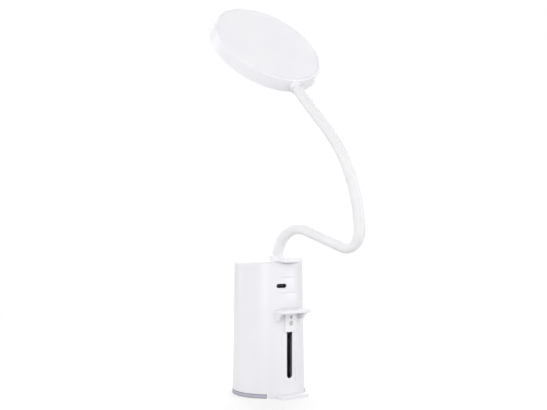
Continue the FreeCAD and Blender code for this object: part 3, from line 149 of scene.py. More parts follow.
class FittingSizes(PropertyGroup):
    button_radius: length("Button", "Radius of the power button", 0.006)
    button_round: length("Button round", "Round of the button's edge", 0.0006)
    button_dish: length("Button dish", "Depth of the hollow in the button's face", 0.0004)
    flange_thickness: length("Flange", "Thickness of the button's flange", 0.001)
    flange_round: length("Flange round", "Round of the flange's edges", 0.0002)
    upper_screw_drop: length("Upper screw", "Drop of the upper screw below the jaw", 0.0062)
    lower_screw_drop: length("Lower screw", "Drop of the lower screw below the jaw", 0.0115)
    upper_screw_head: length("Upper head", "Head radius of the upper screw", 0.0012)
    lower_screw_head: length("Lower head", "Head radius of the lower screw", 0.0017)
    screw_head_height: length("Head height", "Height of the screws' heads", 0.0008)
    screw_dome: length("Screw dome", "Fall of the screws' heads to their edges", 0.00012)
    screw_round: length("Screw round", "Round of the screws' heads", 0.00016)
    screw_shank: length("Shank", "Radius of the screws' shanks", 0.0008)
    drive_depth: length("Drive depth", "Depth of the cross in the screws' heads", 0.0004)
    drive_width: share("Drive width", "Half width of the cross to the head's radius", 0.16)
    drive_length: share("Drive length", "Half length of the cross to the head's radius", 0.62)
    slot_low: length("Slot's low end", "Height of the slot's lower end", 0.0148)
    # Slot's side and back bound the box that the white finish paints with shade.
    slot_side: length("Slot's side", "Half width of what is shaded round the slot", 0.0045)
    slot_back: length("Slot's back", "Distance of the shaded walls' back from the axis", 0.02)
    channel_floor: length("Channel floor", "Distance of the slot's lip from the axis", 0.0303)
    pad_groove: length("Pad groove", "Depth of the grooves in the jaws' pads", 0.0003)
    pad_ribs: IntProperty(name="Ribs", description="Ribs across a jaw's pad", default=4, min=1)
    inlet_angle: angle("Inlet angle", "Angle of the charging inlet round the base", 14.6)
    inlet_mouth: length("Inlet mouth", "Distance of the socket's mouth from the axis", 0.0289)
    tongue_inset: length("Tongue inset", "Depth of the socket's tongue", 0.0008)
    tongue_height: length("Tongue height", "Height of the socket's tongue", 0.0007)
    contact_pitch: length("Contact pitch", "Spacing of the socket's contacts", 0.0005)
    contact_width: length("Contact width", "Width of a contact", 0.00028)
    contact_thickness: length("Contact thickness", "Thickness of a contact", 0.00008)
    contact_inset: length("Contact inset", "Distance of a contact from the tongue's tip", 0.00025)
    contact_nose: length("Contact nose", "Length in which a contact comes to its point", 0.00015)
    contact_length: length("Contact length", "Length of a contact", 0.00315)
    contacts: IntProperty(name="Contacts", description="Contacts on each face", default=12, min=2)


class FinishColours(PropertyGroup):
    white: colour("White", "Gloss white of the housings", (0.815, 0.812, 0.835))
    white_shade: colour("White shade", "Darker drift in the white", (0.79, 0.785, 0.815))
    button: colour("Button", "White of the button", (0.83, 0.83, 0.84))
    silicone: colour("Silicone", "White of the soft neck", (0.80, 0.80, 0.805))
    silicone_shade: colour("Silicone shade", "Darker drift in the neck", (0.77, 0.77, 0.78))
    pad: colour("Pad", "Pale rubber of the jaws", (0.82, 0.815, 0.83))
    foot: colour("Foot", "Lilac grey of the foot", (0.50, 0.485, 0.57))
    foot_shade: colour("Foot shade", "Darker drift in the foot", (0.41, 0.40, 0.47))
    nylon: colour("Nylon", "Dark grey of the holder", (0.26, 0.25, 0.31))
    # Painted shade: grey that stands for the shade on the walls inside the slot.
    slot: colour("Slot", "Shaded grey of the slot's walls", (0.17, 0.163, 0.205))
    wrap: colour("Wrap", "Wrap of the cells", (0.10, 0.095, 0.135))
    board: colour("Board", "Solder mask of the boards", (0.012, 0.10, 0.045))
    trace: colour("Trace", "Tracks under the solder mask", (0.03, 0.20, 0.08))
    gold: colour("Gold", "Plating of the contacts", (0.85, 0.58, 0.24))
    frosted: colour("Frosted", "Frosted white of the diffuser", (0.80, 0.80, 0.79))
    phosphor: colour("Phosphor", "Yellow of the light chips", (0.85, 0.66, 0.16))


class StageSettings(PropertyGroup):
    camera_place: FloatVectorProperty(
        name="Camera", description="Place of the camera", default=(0.5068, 0.6799, 0.1656),
        size=3, unit="LENGTH",
    )
    camera_turn: angle("Camera turn", "Turn of the level camera", 143)
    lens: FloatProperty(name="Lens", description="Focal length in millimetres", default=62.8)
    fill: FloatProperty(name="Fill", description="Strength of the even light", default=0.57)
    fill_tint: colour("Fill tint", "Tint of the even light", (0.99, 0.985, 1.0))
    floor_grey: colour("Floor grey", "Matt grey of the floor near the lamp", (0.66, 0.66, 0.66))
    floor_glow: share("Floor glow", "White that the floor shows where it is in full light", 0.30)
    near: length("Near", "Radius of the floor that takes the shadow", 0.25)
    far: length("Far", "Radius past which the floor is plain white", 0.7)


# ---- surfaces ----


def grid_faces(rows, columns, wrap_rows, wrap_columns):
    """Four-sided faces between neighbouring points of a grid, closed where it wraps."""
    number = np.arange(rows * columns).reshape(rows, columns)
    if wrap_rows:
        number = np.vstack([number, number[:1]])
    if wrap_columns:
        number = np.hstack([number, number[:, :1]])
    corners = [number[:-1, :-1], number[1:, :-1], number[1:, 1:], number[:-1, 1:]]
    return np.stack(corners, -1).reshape(-1, 4)


def in_scene(name, data):
    """Object of the data, linked into the scene."""
    made = bpy.data.objects.new(name, data)
    bpy.context.scene.collection.objects.link(made)
    return made


def surface(name, grids):
    """Object made of grids of points, welded where they meet, with its faces outwards.

    Each grid is its points (rows, columns, 3), whether its rows wrap and whether its columns do.
    """
    points = np.concatenate([grid.reshape(-1, 3) for grid, _, _ in grids])
    starts = np.cumsum([0] + [grid.shape[0] * grid.shape[1] for grid, _, _ in grids])
    faces = np.concatenate([
        grid_faces(*grid.shape[:2], wrap_rows, wrap_columns) + start
        for (grid, wrap_rows, wrap_columns), start in zip(grids, starts)
    ])
    mesh = bpy.data.meshes.new(name)
    mesh.from_pydata(points.tolist(), [], faces.tolist())
    build = bmesh.new()
    build.from_mesh(mesh)
    bmesh.ops.remove_doubles(build, verts=build.verts, dist=1e-7)
    bmesh.ops.recalc_face_normals(build, faces=build.faces)
    build.to_mesh(mesh)
    build.free()
    mesh.shade_smooth()
    mesh.set_sharp_from_angle(angle=SHARP_EDGE)
    return in_scene(name, mesh)


def rounded(corners):
    """Line through (across, along, round) corners, each with a round replaced by its arc.

    The arc touches both sides of its corner: its centre is on the line that halves the corner,
    and its points turn evenly from one side's foot to the other's.
    """
    points = np.array([corner[:2] for corner in corners], float)
    rounds = [corner[2] if len(corner) > 2 else 0 for corner in corners]
    line = []
    for number, (point, size) in enumerate(zip(points, rounds)):
        if not size:
            line.append(point[None])
            continue
        before = points[number - 1] - point
        after = points[(number + 1) % len(points)] - point
        before /= np.linalg.norm(before)
        after /= np.linalg.norm(after)
        half = math.acos(np.clip(before @ after, -1, 1)) / 2
        centre = point + (before + after) / np.linalg.norm(before + after) * size / math.sin(half)
        first = point + before * size / math.tan(half) - centre
        last = point + after * size / math.tan(half) - centre
        turn = math.pi - 2 * half
        part = np.linspace(0, 1, ARC_STEPS + 1)[:, None]
        arc = (np.sin((1 - part) * turn) * first + np.sin(part * turn) * last) / math.sin(turn)
        line.append(centre + arc)
    return np.concatenate(line)


def placed(points, place):
    matrix = np.array(place)
    return points @ matrix[:3, :3].T + matrix[:3, 3]


def turned(profile, around, place=Matrix.Identity(4)):
    """Surface of revolution: a profile point (r, z) at turn a is (r cos a, r sin a, z)."""
    turn = np.linspace(0, 2 * math.pi, around, endpoint=False)
    radius, height = profile[:, :1], profile[:, 1:]
    points = np.stack([radius * np.cos(turn), radius * np.sin(turn), height + 0 * turn], -1)
    return placed(points, place)


def pointing(direction, origin=(0, 0, 0)):
    """Place whose Z axis points along the direction."""
    turn = Vector(direction).to_track_quat("Z", "Y").to_matrix().to_4x4()
    return Matrix.Translation(origin) @ turn


# ---- the neck's line and the head's place ----


class NeckLine:
    """Centre line of the neck in its own plane.

    The heading is a broken line of the length: level on a straight, and rising or falling
    evenly on a bend. A point is the running sum of the heading's cosine and sine.
    """

    step = 5e-5

    def __init__(self, sizes):
        runs = [
            (sizes.rise, 0),
            (sizes.first_radius * sizes.first_turn, -sizes.first_turn),
            (sizes.middle, 0),
            (sizes.second_radius * sizes.second_turn, sizes.second_turn),
            (sizes.long_radius * sizes.long_turn, sizes.long_turn),
            (sizes.last, 0),
        ]
        ends = np.cumsum([0] + [run for run, _ in runs])
        headings = math.pi / 2 + np.cumsum([0] + [turn for _, turn in runs])
        self.length = ends[-1]
        self.station = np.linspace(0, self.length, round(self.length / self.step) + 1)
        heading = np.interp(self.station, ends, headings)
        out = np.array([-math.sin(sizes.plane_turn), math.cos(sizes.plane_turn), 0])
        up = np.array([0.0, 0.0, 1.0])
        self.side = np.cross(out, up)
        self.forward = np.outer(np.cos(heading), out) + np.outer(np.sin(heading), up)
        self.across = np.cross(self.side, self.forward)
        middle = (self.forward[1:] + self.forward[:-1]) / 2
        path = np.cumsum(middle * np.diff(self.station)[:, None], 0)
        start = np.array([0, sizes.root_y, SHELL_TOP])
        self.point = np.vstack([start, start + path])

    def at(self, station):
        number = np.round(np.asarray(station) / self.length * (len(self.station) - 1)).astype(int)
        return self.point[number], self.forward[number], self.across[number]

    def nearest(self, point):
        distance = np.linalg.norm(self.point - np.array(point), axis=1)
        return float(self.station[distance.argmin()])


def head_place():
    """Place of the head: its X axis points at the neck and its Z axis out of its back."""
    line = NeckLine(bpy.context.scene.lamp_neck)
    head = bpy.context.scene.lamp_head
    end, forward, _ = line.at(line.length)
    side_radius = (head.back_radius + head.front_radius) / 2
    forward = Vector(forward)
    centre = Vector(end) + forward * (side_radius + head.collar_length - head.neck_seat)
    sideways = forward.cross(Vector((0, 0, 1))).normalized()
    level_back = sideways.cross(forward)
    back = level_back * math.cos(head.roll) + sideways * math.sin(head.roll)
    axes = Matrix((-forward, back.cross(-forward), back)).transposed()
    return Matrix.Translation(centre) @ axes.to_4x4()


# ---- node groups and finishes ----


def add_node(tree, kind, settings=None, **values):
    """Shader node with its settings, and its inputs by label or by number, such as i0."""
    node = tree.nodes.new("ShaderNode" + kind)
    for label, value in (settings or {}).items():
        setattr(node, label, value)
    for label, value in values.items():
        socket = node.inputs[int(label[1:]) if label[1:].isdigit() else label.replace("_", " ")]
        if isinstance(value, bpy.types.NodeSocket):
            tree.links.new(value, socket)
        else:
            socket.default_value = value
    return node


def maths(tree, operation, first, second=0.0):
    node = add_node(tree, "Math", {"operation": operation}, i0=first, i1=second)
    return node.outputs[0]


def mixed(tree, amount, first, second):
    """Colour between two others."""
    node = add_node(tree, "Mix", {"data_type": "RGBA"}, i0=amount, i6=first, i7=second)
    return node.outputs[2]


def hypotenuse(tree, first, second):
    squares = [maths(tree, "MULTIPLY", side, side) for side in (first, second)]
    return maths(tree, "SQRT", maths(tree, "ADD", *squares))


def ramp(tree, value, low, high, kind="SMOOTHSTEP", **ends):
    """How far a value is from low to high, held at both: from 0 to 1 or between the ends."""
    node = add_node(
        tree, "MapRange", {"interpolation_type": kind},
        Value=value, From_Min=low, From_Max=high, **ends,
    )
    return node.outputs["Result"]


def new_group(name, **inputs):
    """Node group and what it is given: a vector, colours where a tuple is written, or numbers."""
    group = bpy.data.node_groups.new(name, "ShaderNodeTree")
    group.interface.new_socket("Vector", in_out="INPUT", socket_type="NodeSocketVector")
    for label, default in inputs.items():
        kind = "NodeSocketColor" if isinstance(default, tuple) else "NodeSocketFloat"
        label = label.replace("_", " ")
        socket = group.interface.new_socket(label, in_out="INPUT", socket_type=kind)
        socket.default_value = default
    return group, group.nodes.new("NodeGroupInput").outputs


def finished(group, label, value, kind="NodeSocketFloat"):
    """The node group once the value is its output."""
    group.interface.new_socket(label, in_out="OUTPUT", socket_type=kind)
    group.links.new(value, group.nodes.new("NodeGroupOutput").inputs[label])
    return group


def noise(tree, given, scale="Scale", **values):
    node = add_node(tree, "TexNoise", Vector=given["Vector"], Scale=given[scale], **values)
    return node.outputs["Fac"]


def tone_drift(name):
    """Colour that drifts slowly between two tones."""
    group, given = new_group(name, Light=(1, 1, 1, 1), Shade=(1, 1, 1, 1), Scale=30.0)
    spread = ramp(group, noise(group, given, Detail=3.0, Roughness=0.55), 0.32, 0.68)
    tone = mixed(group, spread, given["Light"], given["Shade"])
    return finished(group, "Color", tone, "NodeSocketColor")


def gloss_drift(name):
    """Roughness that drifts between a low and a high value."""
    group, given = new_group(name, Low=0.2, High=0.3, Scale=60.0)
    spread = ramp(
        group, noise(group, given, Detail=4.0, Roughness=0.6), 0.3, 0.7, "LINEAR",
        To_Min=given["Low"], To_Max=given["High"],
    )
    return finished(group, "Roughness", spread)


def moulded_grain(name):
    """Height of a moulded skin: a fine grain on a slow waviness."""
    group, given = new_group(name, Fine=2500.0, Wave=260.0, Wave_Share=0.5)
    fine = noise(group, given, "Fine", Detail=2.0)
    wave = noise(group, given, "Wave", Detail=1.0)
    mix = add_node(group, "Mix", i0=given["Wave Share"], i2=fine, i3=wave)
    return finished(group, "Height", mix.outputs[0])


def soft_ring(name):
    """Mask of a soft ring about the Z axis of the given vector."""
    group, given = new_group(name, Radius=0.03, Width=0.002)
    axes = add_node(group, "SeparateXYZ", Vector=given["Vector"]).outputs
    off = maths(group, "SUBTRACT", hypotenuse(group, axes["X"], axes["Y"]), given["Radius"])
    return finished(group, "Mask", ramp(group, maths(group, "ABSOLUTE", off), given["Width"], 0.0))


def ring_of_spots(name):
    """Mask of evenly spaced round spots on a circle about the Z axis of the given vector."""
    group, given = new_group(name, Radius=0.03, Count=24.0, Size=0.003)
    axes = add_node(group, "SeparateXYZ", Vector=given["Vector"]).outputs
    turn = maths(group, "ARCTAN2", axes["Y"], axes["X"])
    step = maths(group, "DIVIDE", 2 * math.pi, given["Count"])
    place = maths(group, "DIVIDE", turn, step)
    from_spot = maths(group, "SUBTRACT", place, maths(group, "ROUND", place))
    sideways = maths(
        group, "MULTIPLY", maths(group, "MULTIPLY", from_spot, step), given["Radius"]
    )
    outward = maths(group, "SUBTRACT", hypotenuse(group, axes["X"], axes["Y"]), given["Radius"])
    off = hypotenuse(group, sideways, outward)
    return finished(group, "Mask", ramp(group, off, given["Size"], 0.0))


def height_band(name):
    """Mask of a band of heights, with soft edges."""
    group, given = new_group(name, Low=0.0, High=0.01, Edge=0.001)
    height = add_node(group, "SeparateXYZ", Vector=given["Vector"]).outputs["Z"]
    above = maths(group, "SUBTRACT", height, given["Low"])
    below = maths(group, "SUBTRACT", given["High"], height)
    inside = maths(group, "MINIMUM", above, below)
    return finished(group, "Mask", ramp(group, inside, 0.0, given["Edge"]))


class Finish:
    """A material that is being made: its tree, its shader and its object coordinates."""

    def __init__(self, name):
        self.material = bpy.data.materials.new(name)
        self.material.use_nodes = True
        self.tree = self.material.node_tree
        self.shader = self.tree.nodes["Principled BSDF"]
        self.place = self.add("TexCoord").outputs["Object"]

    def set(self, **constants):
        for label, value in constants.items():
            self.shader.inputs[label.replace("_", " ")].default_value = value

    def add(self, kind, settings=None, **values):
        return add_node(self.tree, kind, settings, **values)

    def group(self, maker, **values):
        """Uses the maker's node group, which is made once, and returns its output."""
        tree = bpy.data.node_groups.get(maker.__name__) or maker(maker.__name__)
        values.setdefault("Vector", self.place)
        return self.add("Group", {"node_tree": tree}, **values).outputs[0]

    def from_head(self):
        """Coordinates from the head's centre, with Z out of its back."""
        back = head_place().inverted()
        node = self.add(
            "Mapping", Vector=self.place,
            Location=back.to_translation(), Rotation=back.to_euler(),
        )
        return node.outputs[0]

    def paint(self, label, source):
        self.tree.links.new(source, self.shader.inputs[label])

    def drift(self, light, shade, scale, **values):
        """Colour that drifts between two tones."""
        light, shade = opaque(light), opaque(shade)
        return self.group(tone_drift, Light=light, Shade=shade, Scale=scale, **values)

    def between(self, amount, first, second):
        """Base colour between two others."""
        self.paint("Base Color", mixed(self.tree, amount, first, second))

    def tone(self, light, shade, scale):
        self.paint("Base Color", self.drift(light, shade, scale))

    def gloss(self, low, high, scale):
        """Roughness that drifts from low to high."""
        self.paint("Roughness", self.group(gloss_drift, Low=low, High=high, Scale=scale))

    def bump(self, height, depth, strength=1.0):
        node = self.add("Bump", Height=height, Distance=depth, Strength=strength)
        self.paint("Normal", node.outputs["Normal"])

    def grain(self, fine, wave, wave_share, depth):
        """Moulded skin: the scale of its grain and of its waves, their share and the depth."""
        height = self.group(moulded_grain, Fine=fine, Wave=wave, Wave_Share=wave_share)
        self.bump(height, depth)


def opaque(colour_value):
    return (*colour_value, 1.0)


def scaled(colour_value, by):
    return tuple(part * by for part in colour_value)


# Each maker of a finish is given the bare finish and the colours.


def gloss_white(finish, colours):
    """Polished white moulding with a slow tone drift and a faint waviness.

    The walls of the slot behind the channel's floor are painted a dark grey: painted shade for the
    dark inside of the slot.
    """
    finish.set(IOR=1.5)
    sizes = bpy.context.scene.lamp_fittings
    axes = finish.add("SeparateXYZ", Vector=finish.place).outputs
    edge = 0.0001
    # Painted shade: in a box round the slot, from its low end to the jaw's top, the walls take the
    # dark grey in place of the white.
    slot = finish.group(height_band, Low=sizes.slot_low, High=JAW_TOP, Edge=edge)
    spans = {"X": (-sizes.slot_side, sizes.slot_side), "Y": (sizes.slot_back, sizes.channel_floor)}
    for axis, (low, high) in spans.items():
        across = finish.add("CombineXYZ", i2=axes[axis]).outputs[0]
        band = finish.group(height_band, Vector=across, Low=low, High=high, Edge=edge)
        slot = maths(finish.tree, "MULTIPLY", slot, band)
    tone = finish.drift(colours.white, colours.white_shade, 22.0)
    finish.between(slot, tone, opaque(colours.slot))
    finish.gloss(0.29, 0.35, 90.0)
    finish.grain(1400.0, 160.0, 0.85, 0.000006)


def button_white(finish, colours):
    finish.set(Coat_Weight=0.5, Coat_Roughness=0.1)
    finish.tone(colours.button, colours.white, 60.0)
    finish.gloss(0.22, 0.3, 160.0)
    finish.grain(3200.0, 400.0, 0.6, 0.000008)


def soft_silicone(finish, colours):
    """Soft matt sleeve with a fine skin and a slightly dusty sheen."""
    finish.set(Sheen_Weight=0.02, Sheen_Roughness=0.4, IOR=1.4)
    finish.tone(colours.silicone, colours.silicone_shade, 55.0)
    finish.gloss(0.42, 0.52, 140.0)
    finish.grain(900.0, 200.0, 0.9, 0.000004)


def pale_rubber(finish, colours):
    finish.set(Sheen_Weight=0.1, IOR=1.45)
    finish.tone(colours.pad, scaled(colours.pad, 0.94), 90.0)
    finish.gloss(0.55, 0.68, 300.0)
    finish.grain(4200.0, 900.0, 0.3, 0.00003)


def foot_rubber(finish, colours):
    """Lilac grey rubber with painted shade along its upper and lower edges."""
    finish.set(IOR=1.48)
    low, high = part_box("foot_pad")
    rim = 0.0002
    middle = finish.group(height_band, Low=low.z + rim, High=high.z - rim, Edge=4 * rim)
    tone = finish.drift(colours.foot, colours.foot_shade, 70.0)
    # Painted shade: a darker copy of the foot's shade along both edges, for the shadow gap at the top
    # and the dark line at the bottom.
    edge = opaque(scaled(colours.foot_shade, 0.6))
    finish.between(middle, edge, tone)
    finish.gloss(0.6, 0.78, 240.0)
    finish.grain(5200.0, 1200.0, 0.3, 0.00005)


def dark_nylon(finish, colours):
    finish.tone(colours.nylon, scaled(colours.nylon, 0.8), 120.0)
    finish.gloss(0.45, 0.6, 200.0)
    finish.grain(3800.0, 700.0, 0.3, 0.00003)


def drawn_steel(finish, _):
    """Bright steel with a fine grain."""
    finish.set(Metallic=1.0)
    finish.tone((0.62, 0.61, 0.60), (0.50, 0.495, 0.49), 220.0)
    finish.gloss(0.22, 0.36, 700.0)
    finish.grain(6000.0, 1500.0, 0.5, 0.00001)


def socket_painted_shade(finish, _):
    """Socket painted near black all over, from its rim to its tongue: painted shade for the dark
    inside of the inlet, laid over its steel.
    """
    finish.set(IOR=1.5)
    finish.tone((0.03, 0.03, 0.033), (0.018, 0.018, 0.02), 300.0)
    finish.gloss(0.3, 0.5, 500.0)
    finish.grain(5000.0, 900.0, 0.4, 0.00001)


def gold_plate(finish, colours):
    finish.set(Metallic=1.0)
    finish.tone(colours.gold, scaled(colours.gold, 0.8), 900.0)
    finish.gloss(0.2, 0.34, 1500.0)
    finish.grain(8000.0, 2500.0, 0.4, 0.000004)


def cell_wrap(finish, colours):
    """Shrunk wrap that leaves bare steel at both ends of the cells."""
    finish.set(Coat_Weight=0.3, Coat_Roughness=0.2)
    low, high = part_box("battery_cells")
    lower_end, upper_end = 0.0012, 0.0022
    lower, upper = low.z + lower_end, high.z - upper_end
    covered = finish.group(height_band, Low=lower, High=upper, Edge=0.0002)
    wrap = finish.drift(colours.wrap, scaled(colours.wrap, 0.8), 120.0)
    finish.between(covered, (0.55, 0.54, 0.53, 1), wrap)
    finish.paint("Metallic", maths(finish.tree, "SUBTRACT", 1.0, covered))
    finish.gloss(0.28, 0.42, 200.0)
    finish.grain(900.0, 150.0, 0.6, 0.00006)


def solder_mask(finish, colours):
    """Circuit board: tracks that show through the green mask, and tinned dots."""
    finish.set(Coat_Weight=0.4, Coat_Roughness=0.12)
    board, trace = opaque(colours.board), opaque(colours.trace)
    tracks = finish.add(
        "TexBrick", {"offset": 0.35, "squash": 1.6, "squash_frequency": 3},
        Vector=finish.place, Color1=board, Color2=board, Mortar=trace,
        Scale=220.0, Mortar_Size=0.035, Mortar_Smooth=0.2,
    ).outputs
    dots = finish.add("TexVoronoi", Vector=finish.place, Scale=260.0)
    tinned = ramp(finish.tree, dots.outputs["Distance"], 0.16, 0.12, "LINEAR")
    finish.between(tinned, tracks["Color"], (0.55, 0.56, 0.55, 1))
    finish.paint("Metallic", tinned)
    finish.gloss(0.25, 0.4, 400.0)
    finish.bump(maths(finish.tree, "ADD", tracks["Fac"], tinned), 0.00004)


def chip_epoxy(finish, _):
    finish.tone((0.022, 0.022, 0.024), (0.035, 0.035, 0.038), 500.0)
    finish.gloss(0.5, 0.65, 900.0)
    finish.grain(7000.0, 1800.0, 0.3, 0.00002)


def light_spots(finish, seen, size):
    """Mask of the two rings of lights: the inner one has half the radius and half the count."""
    sizes = bpy.context.scene.lamp_head
    rings = [
        finish.group(
            ring_of_spots, Vector=seen, Size=size,
            Radius=sizes.led_ring_radius * part, Count=sizes.leds * part,
        )
        for part in (1.0, 0.5)
    ]
    return maths(finish.tree, "ADD", *rings)


def phosphor_face(finish, colours):
    """Light chips: a yellow phosphor dot in each white case."""
    finish.set(Coat_Weight=0.5, Coat_Roughness=0.15)
    dots = light_spots(finish, finish.from_head(), 0.0016)
    yellow = ramp(finish.tree, dots, 0.05, 0.25, "LINEAR")
    tone = finish.drift(colours.phosphor, scaled(colours.phosphor, 0.85), 900.0)
    finish.between(yellow, (0.8, 0.8, 0.78, 1), tone)
    finish.gloss(0.3, 0.45, 800.0)
    finish.grain(6000.0, 2000.0, 0.3, 0.00001)


def frosted_white(finish, colours):
    """Frosted disc: the rings of lights behind it show as faint warm spots."""
    finish.set(Coat_Weight=0.15, Coat_Roughness=0.45, IOR=1.49)
    seen = finish.from_head()
    spots = maths(finish.tree, "MULTIPLY", light_spots(finish, seen, 0.0048), 0.35)
    milk = finish.drift(colours.frosted, scaled(colours.frosted, 0.97), 30.0)
    radius = bpy.context.scene.lamp_head.diffuser_radius
    # Painted shade: the disc is darker in a soft ring round its edge.
    rim = finish.group(soft_ring, Vector=seen, Radius=radius, Width=0.006)
    rim = maths(finish.tree, "MULTIPLY", rim, 0.5)
    shaded = mixed(finish.tree, rim, milk, opaque(scaled(colours.frosted, 0.88)))
    finish.between(spots, shaded, (0.88, 0.83, 0.62, 1))
    finish.gloss(0.5, 0.6, 350.0)
    dimples = finish.add("TexVoronoi", Vector=finish.place, Scale=1400.0)
    finish.bump(dimples.outputs["Distance"], 0.00004, 0.5)


def brushed_aluminium(finish, _):
    finish.set(Metallic=1.0)
    stretched = finish.add("Mapping", Vector=finish.place, Scale=(1.0, 40.0, 40.0)).outputs[0]
    light, shade = (0.78, 0.78, 0.79), (0.66, 0.66, 0.675)
    finish.paint("Base Color", finish.drift(light, shade, 90.0, Vector=stretched))
    finish.gloss(0.3, 0.42, 500.0)
    finish.bump(finish.group(moulded_grain, Vector=stretched, Fine=220.0, Wave=60.0), 0.00001)


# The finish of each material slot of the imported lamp.
SLOT_FINISHES = {
    "white_shell": gloss_white,
    "white_button": button_white,
    "dark_rubber": foot_rubber,
    "white_rubber": pale_rubber,
    "neck_silicone": soft_silicone,
    "black_nylon": dark_nylon,
    "steel": drawn_steel,
    "cell_can": cell_wrap,
    "circuit_board": solder_mask,
    "chip_plastic": chip_epoxy,
    "led_face": phosphor_face,
    "frosted_diffuser": frosted_white,
    "aluminium_plate": brushed_aluminium,
}


def made_finish(maker):
    """The material that the maker makes, made once."""
    if maker.__name__ not in bpy.data.materials:
        maker(Finish(maker.__name__), bpy.context.scene.lamp_colours)
    return bpy.data.materials[maker.__name__]


def dress(piece, slot, body=None, stands_for=(), maker=None):
    """Gives a piece its finish and material slot, its body and the solids that it stands for."""
    piece.data.materials.append(made_finish(maker or SLOT_FINISHES[slot]))
    if body:
        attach(piece, body)
    if stands_for:
        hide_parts(*stands_for)


# ---- pieces ----

NECK_BODIES = ("neck_1", "neck_2", "neck_3", "neck_4", "neck_5", "head")
NECK_NODES = ("neck_root", *(f"neck_link_{number}" for number in range(1, 6)), "neck_tip")


def capped(radius, heights, edge):
    """Profile that follows the heights over the radii, and then the edge from its second point."""
    return np.vstack([np.column_stack([radius, heights]), edge[1:]])


def turned_piece(name, profile, place, around, ring=False):
    """Turned piece whose profile starts and ends on the axis, or goes round as a ring's does."""
    return surface(name, [(turned(profile, around, place), ring, True)])


class LAMP_OT_neck_sleeve(Operator):
    """Soft sleeve of the neck, in six lengths that each hold one joint"""

    bl_idname = "clamp_lamp.neck_sleeve"
    bl_label = "Neck sleeve"

    def execute(self, context):
        sizes = context.scene.lamp_neck
        line = NeckLine(sizes)
        joints = [joint for joint in frame["joints"] if joint["child"] in NECK_BODIES]
        stations = np.array([line.nearest(joint["pos_m"]) for joint in joints])
        middles = (stations[1:] + stations[:-1]) / 2
        ends = np.concatenate([[0], middles, [line.length]])
        for number, (joint, station) in enumerate(zip(joints, stations)):
            start, end = ends[number], ends[number + 1]
            piece = sleeve(f"neck_sleeve_{number + 1}", line, start, end, sizes)
            last = joint is joints[-1]
            # The last length stands for the neck's tip too.
            covered = NECK_NODES[number : number + 1 + last]
            dress(piece, "neck_silicone", stands_for=covered)
            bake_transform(piece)
        return {"FINISHED"}


def sleeve(name, line, start, end, sizes):
    """Tube on the neck's line, closed by flat ends.

    A point at station s and turn a is line(s) + radius (cos a across(s) + sin a side), and the
    radius is nothing at the two ends of the grid.
    """
    rows = max(2, round((end - start) / sizes.row_spacing)) + 1
    station = np.linspace(start, end, rows)
    station = np.concatenate([station[:1], station, station[-1:]])
    radius = np.full(len(station), sizes.radius)
    radius[[0, -1]] = 0
    turn = np.linspace(0, 2 * math.pi, sizes.around, endpoint=False)
    point, _, across = line.at(station)
    ring = np.cos(turn)[:, None] * across[:, None] + np.sin(turn)[:, None] * line.side
    return surface(name, [(point[:, None] + radius[:, None, None] * ring, False, True)])


class LAMP_OT_head_cover(Operator):
    """Back cover of the head with its crowned face, groove and neck collar"""

    bl_idname = "clamp_lamp.head_cover"
    bl_label = "Head cover"

    def execute(self, context):
        sizes = context.scene.lamp_head
        place = head_place()
        cover = turned_piece("head_cover", cover_profile(sizes), place, around=160)
        dress(cover, "white_shell", "head", ["head_back_cover"])
        side = (sizes.back_radius + sizes.front_radius) / 2
        root = side - sizes.wall / 2
        tip = side + sizes.collar_length
        profile = rounded([
            (sizes.collar_bore, root),
            (sizes.collar_radius, root),
            (sizes.collar_radius, tip, sizes.collar_round),
            (sizes.collar_bore, tip, sizes.collar_round / 2),
        ])
        to_neck = place @ pointing((1, 0, 0))
        collar = turned_piece("head_collar", profile, to_neck, around=64, ring=True)
        dress(collar, "white_shell", "head")
        return {"FINISHED"}


def cover_profile(sizes):
    """Half section of the back cover, from the axis outside to the axis inside.

    The back face falls by the crown times the square of the share of the radius.
    """
    half = sizes.thickness / 2
    radius = np.linspace(0, sizes.groove_radius, 40)[:-1]
    face = half - sizes.crown * (radius / sizes.back_radius) ** 2
    rim = half - sizes.crown
    groove_end = sizes.groove_radius + sizes.groove_width
    floor = rim - sizes.groove_depth
    slope = (sizes.back_radius - sizes.front_radius) / sizes.thickness
    roof = half - sizes.wall
    roof_radius = sizes.back_radius - slope * sizes.wall - sizes.wall
    edge = rounded([
        (radius[-1], rim),
        (sizes.groove_radius, rim, sizes.groove_round * 1.2),
        (sizes.groove_radius, floor, sizes.groove_round),
        (groove_end, floor, sizes.groove_round),
        (groove_end, rim, sizes.groove_round * 1.5),
        (sizes.back_radius, rim, sizes.back_round),
        (sizes.front_radius, -half, sizes.front_round),
        (sizes.front_radius - sizes.wall, -half, sizes.inner_round / 2),
        (roof_radius, roof, sizes.inner_round),
        (0, roof),
    ])
    return capped(radius, face, edge)


class LAMP_OT_diffuser(Operator):
    """Frosted disc of the head's light side, slightly domed.

    Its face stands out by the dome times 1 less the square of the share of the radius.
    """

    bl_idname = "clamp_lamp.diffuser"
    bl_label = "Diffuser"

    def execute(self, context):
        sizes = context.scene.lamp_head
        front = sizes.diffuser_front - sizes.thickness / 2
        radius = np.linspace(0, sizes.diffuser_radius - sizes.diffuser_round, 36)
        dome = front - sizes.diffuser_dome * (1 - (radius / radius[-1]) ** 2)
        back = front + sizes.diffuser_thickness
        edge = rounded([
            (radius[-1], front),
            (sizes.diffuser_radius, front, sizes.diffuser_round * 2 / 3),
            (sizes.diffuser_radius, back, sizes.diffuser_round),
            (0, back),
        ])
        place = head_place()
        piece = turned_piece("frosted_disc", capped(radius, dome, edge), place, around=128)
        dress(piece, "frosted_diffuser", "head", ["diffuser"])
        return {"FINISHED"}


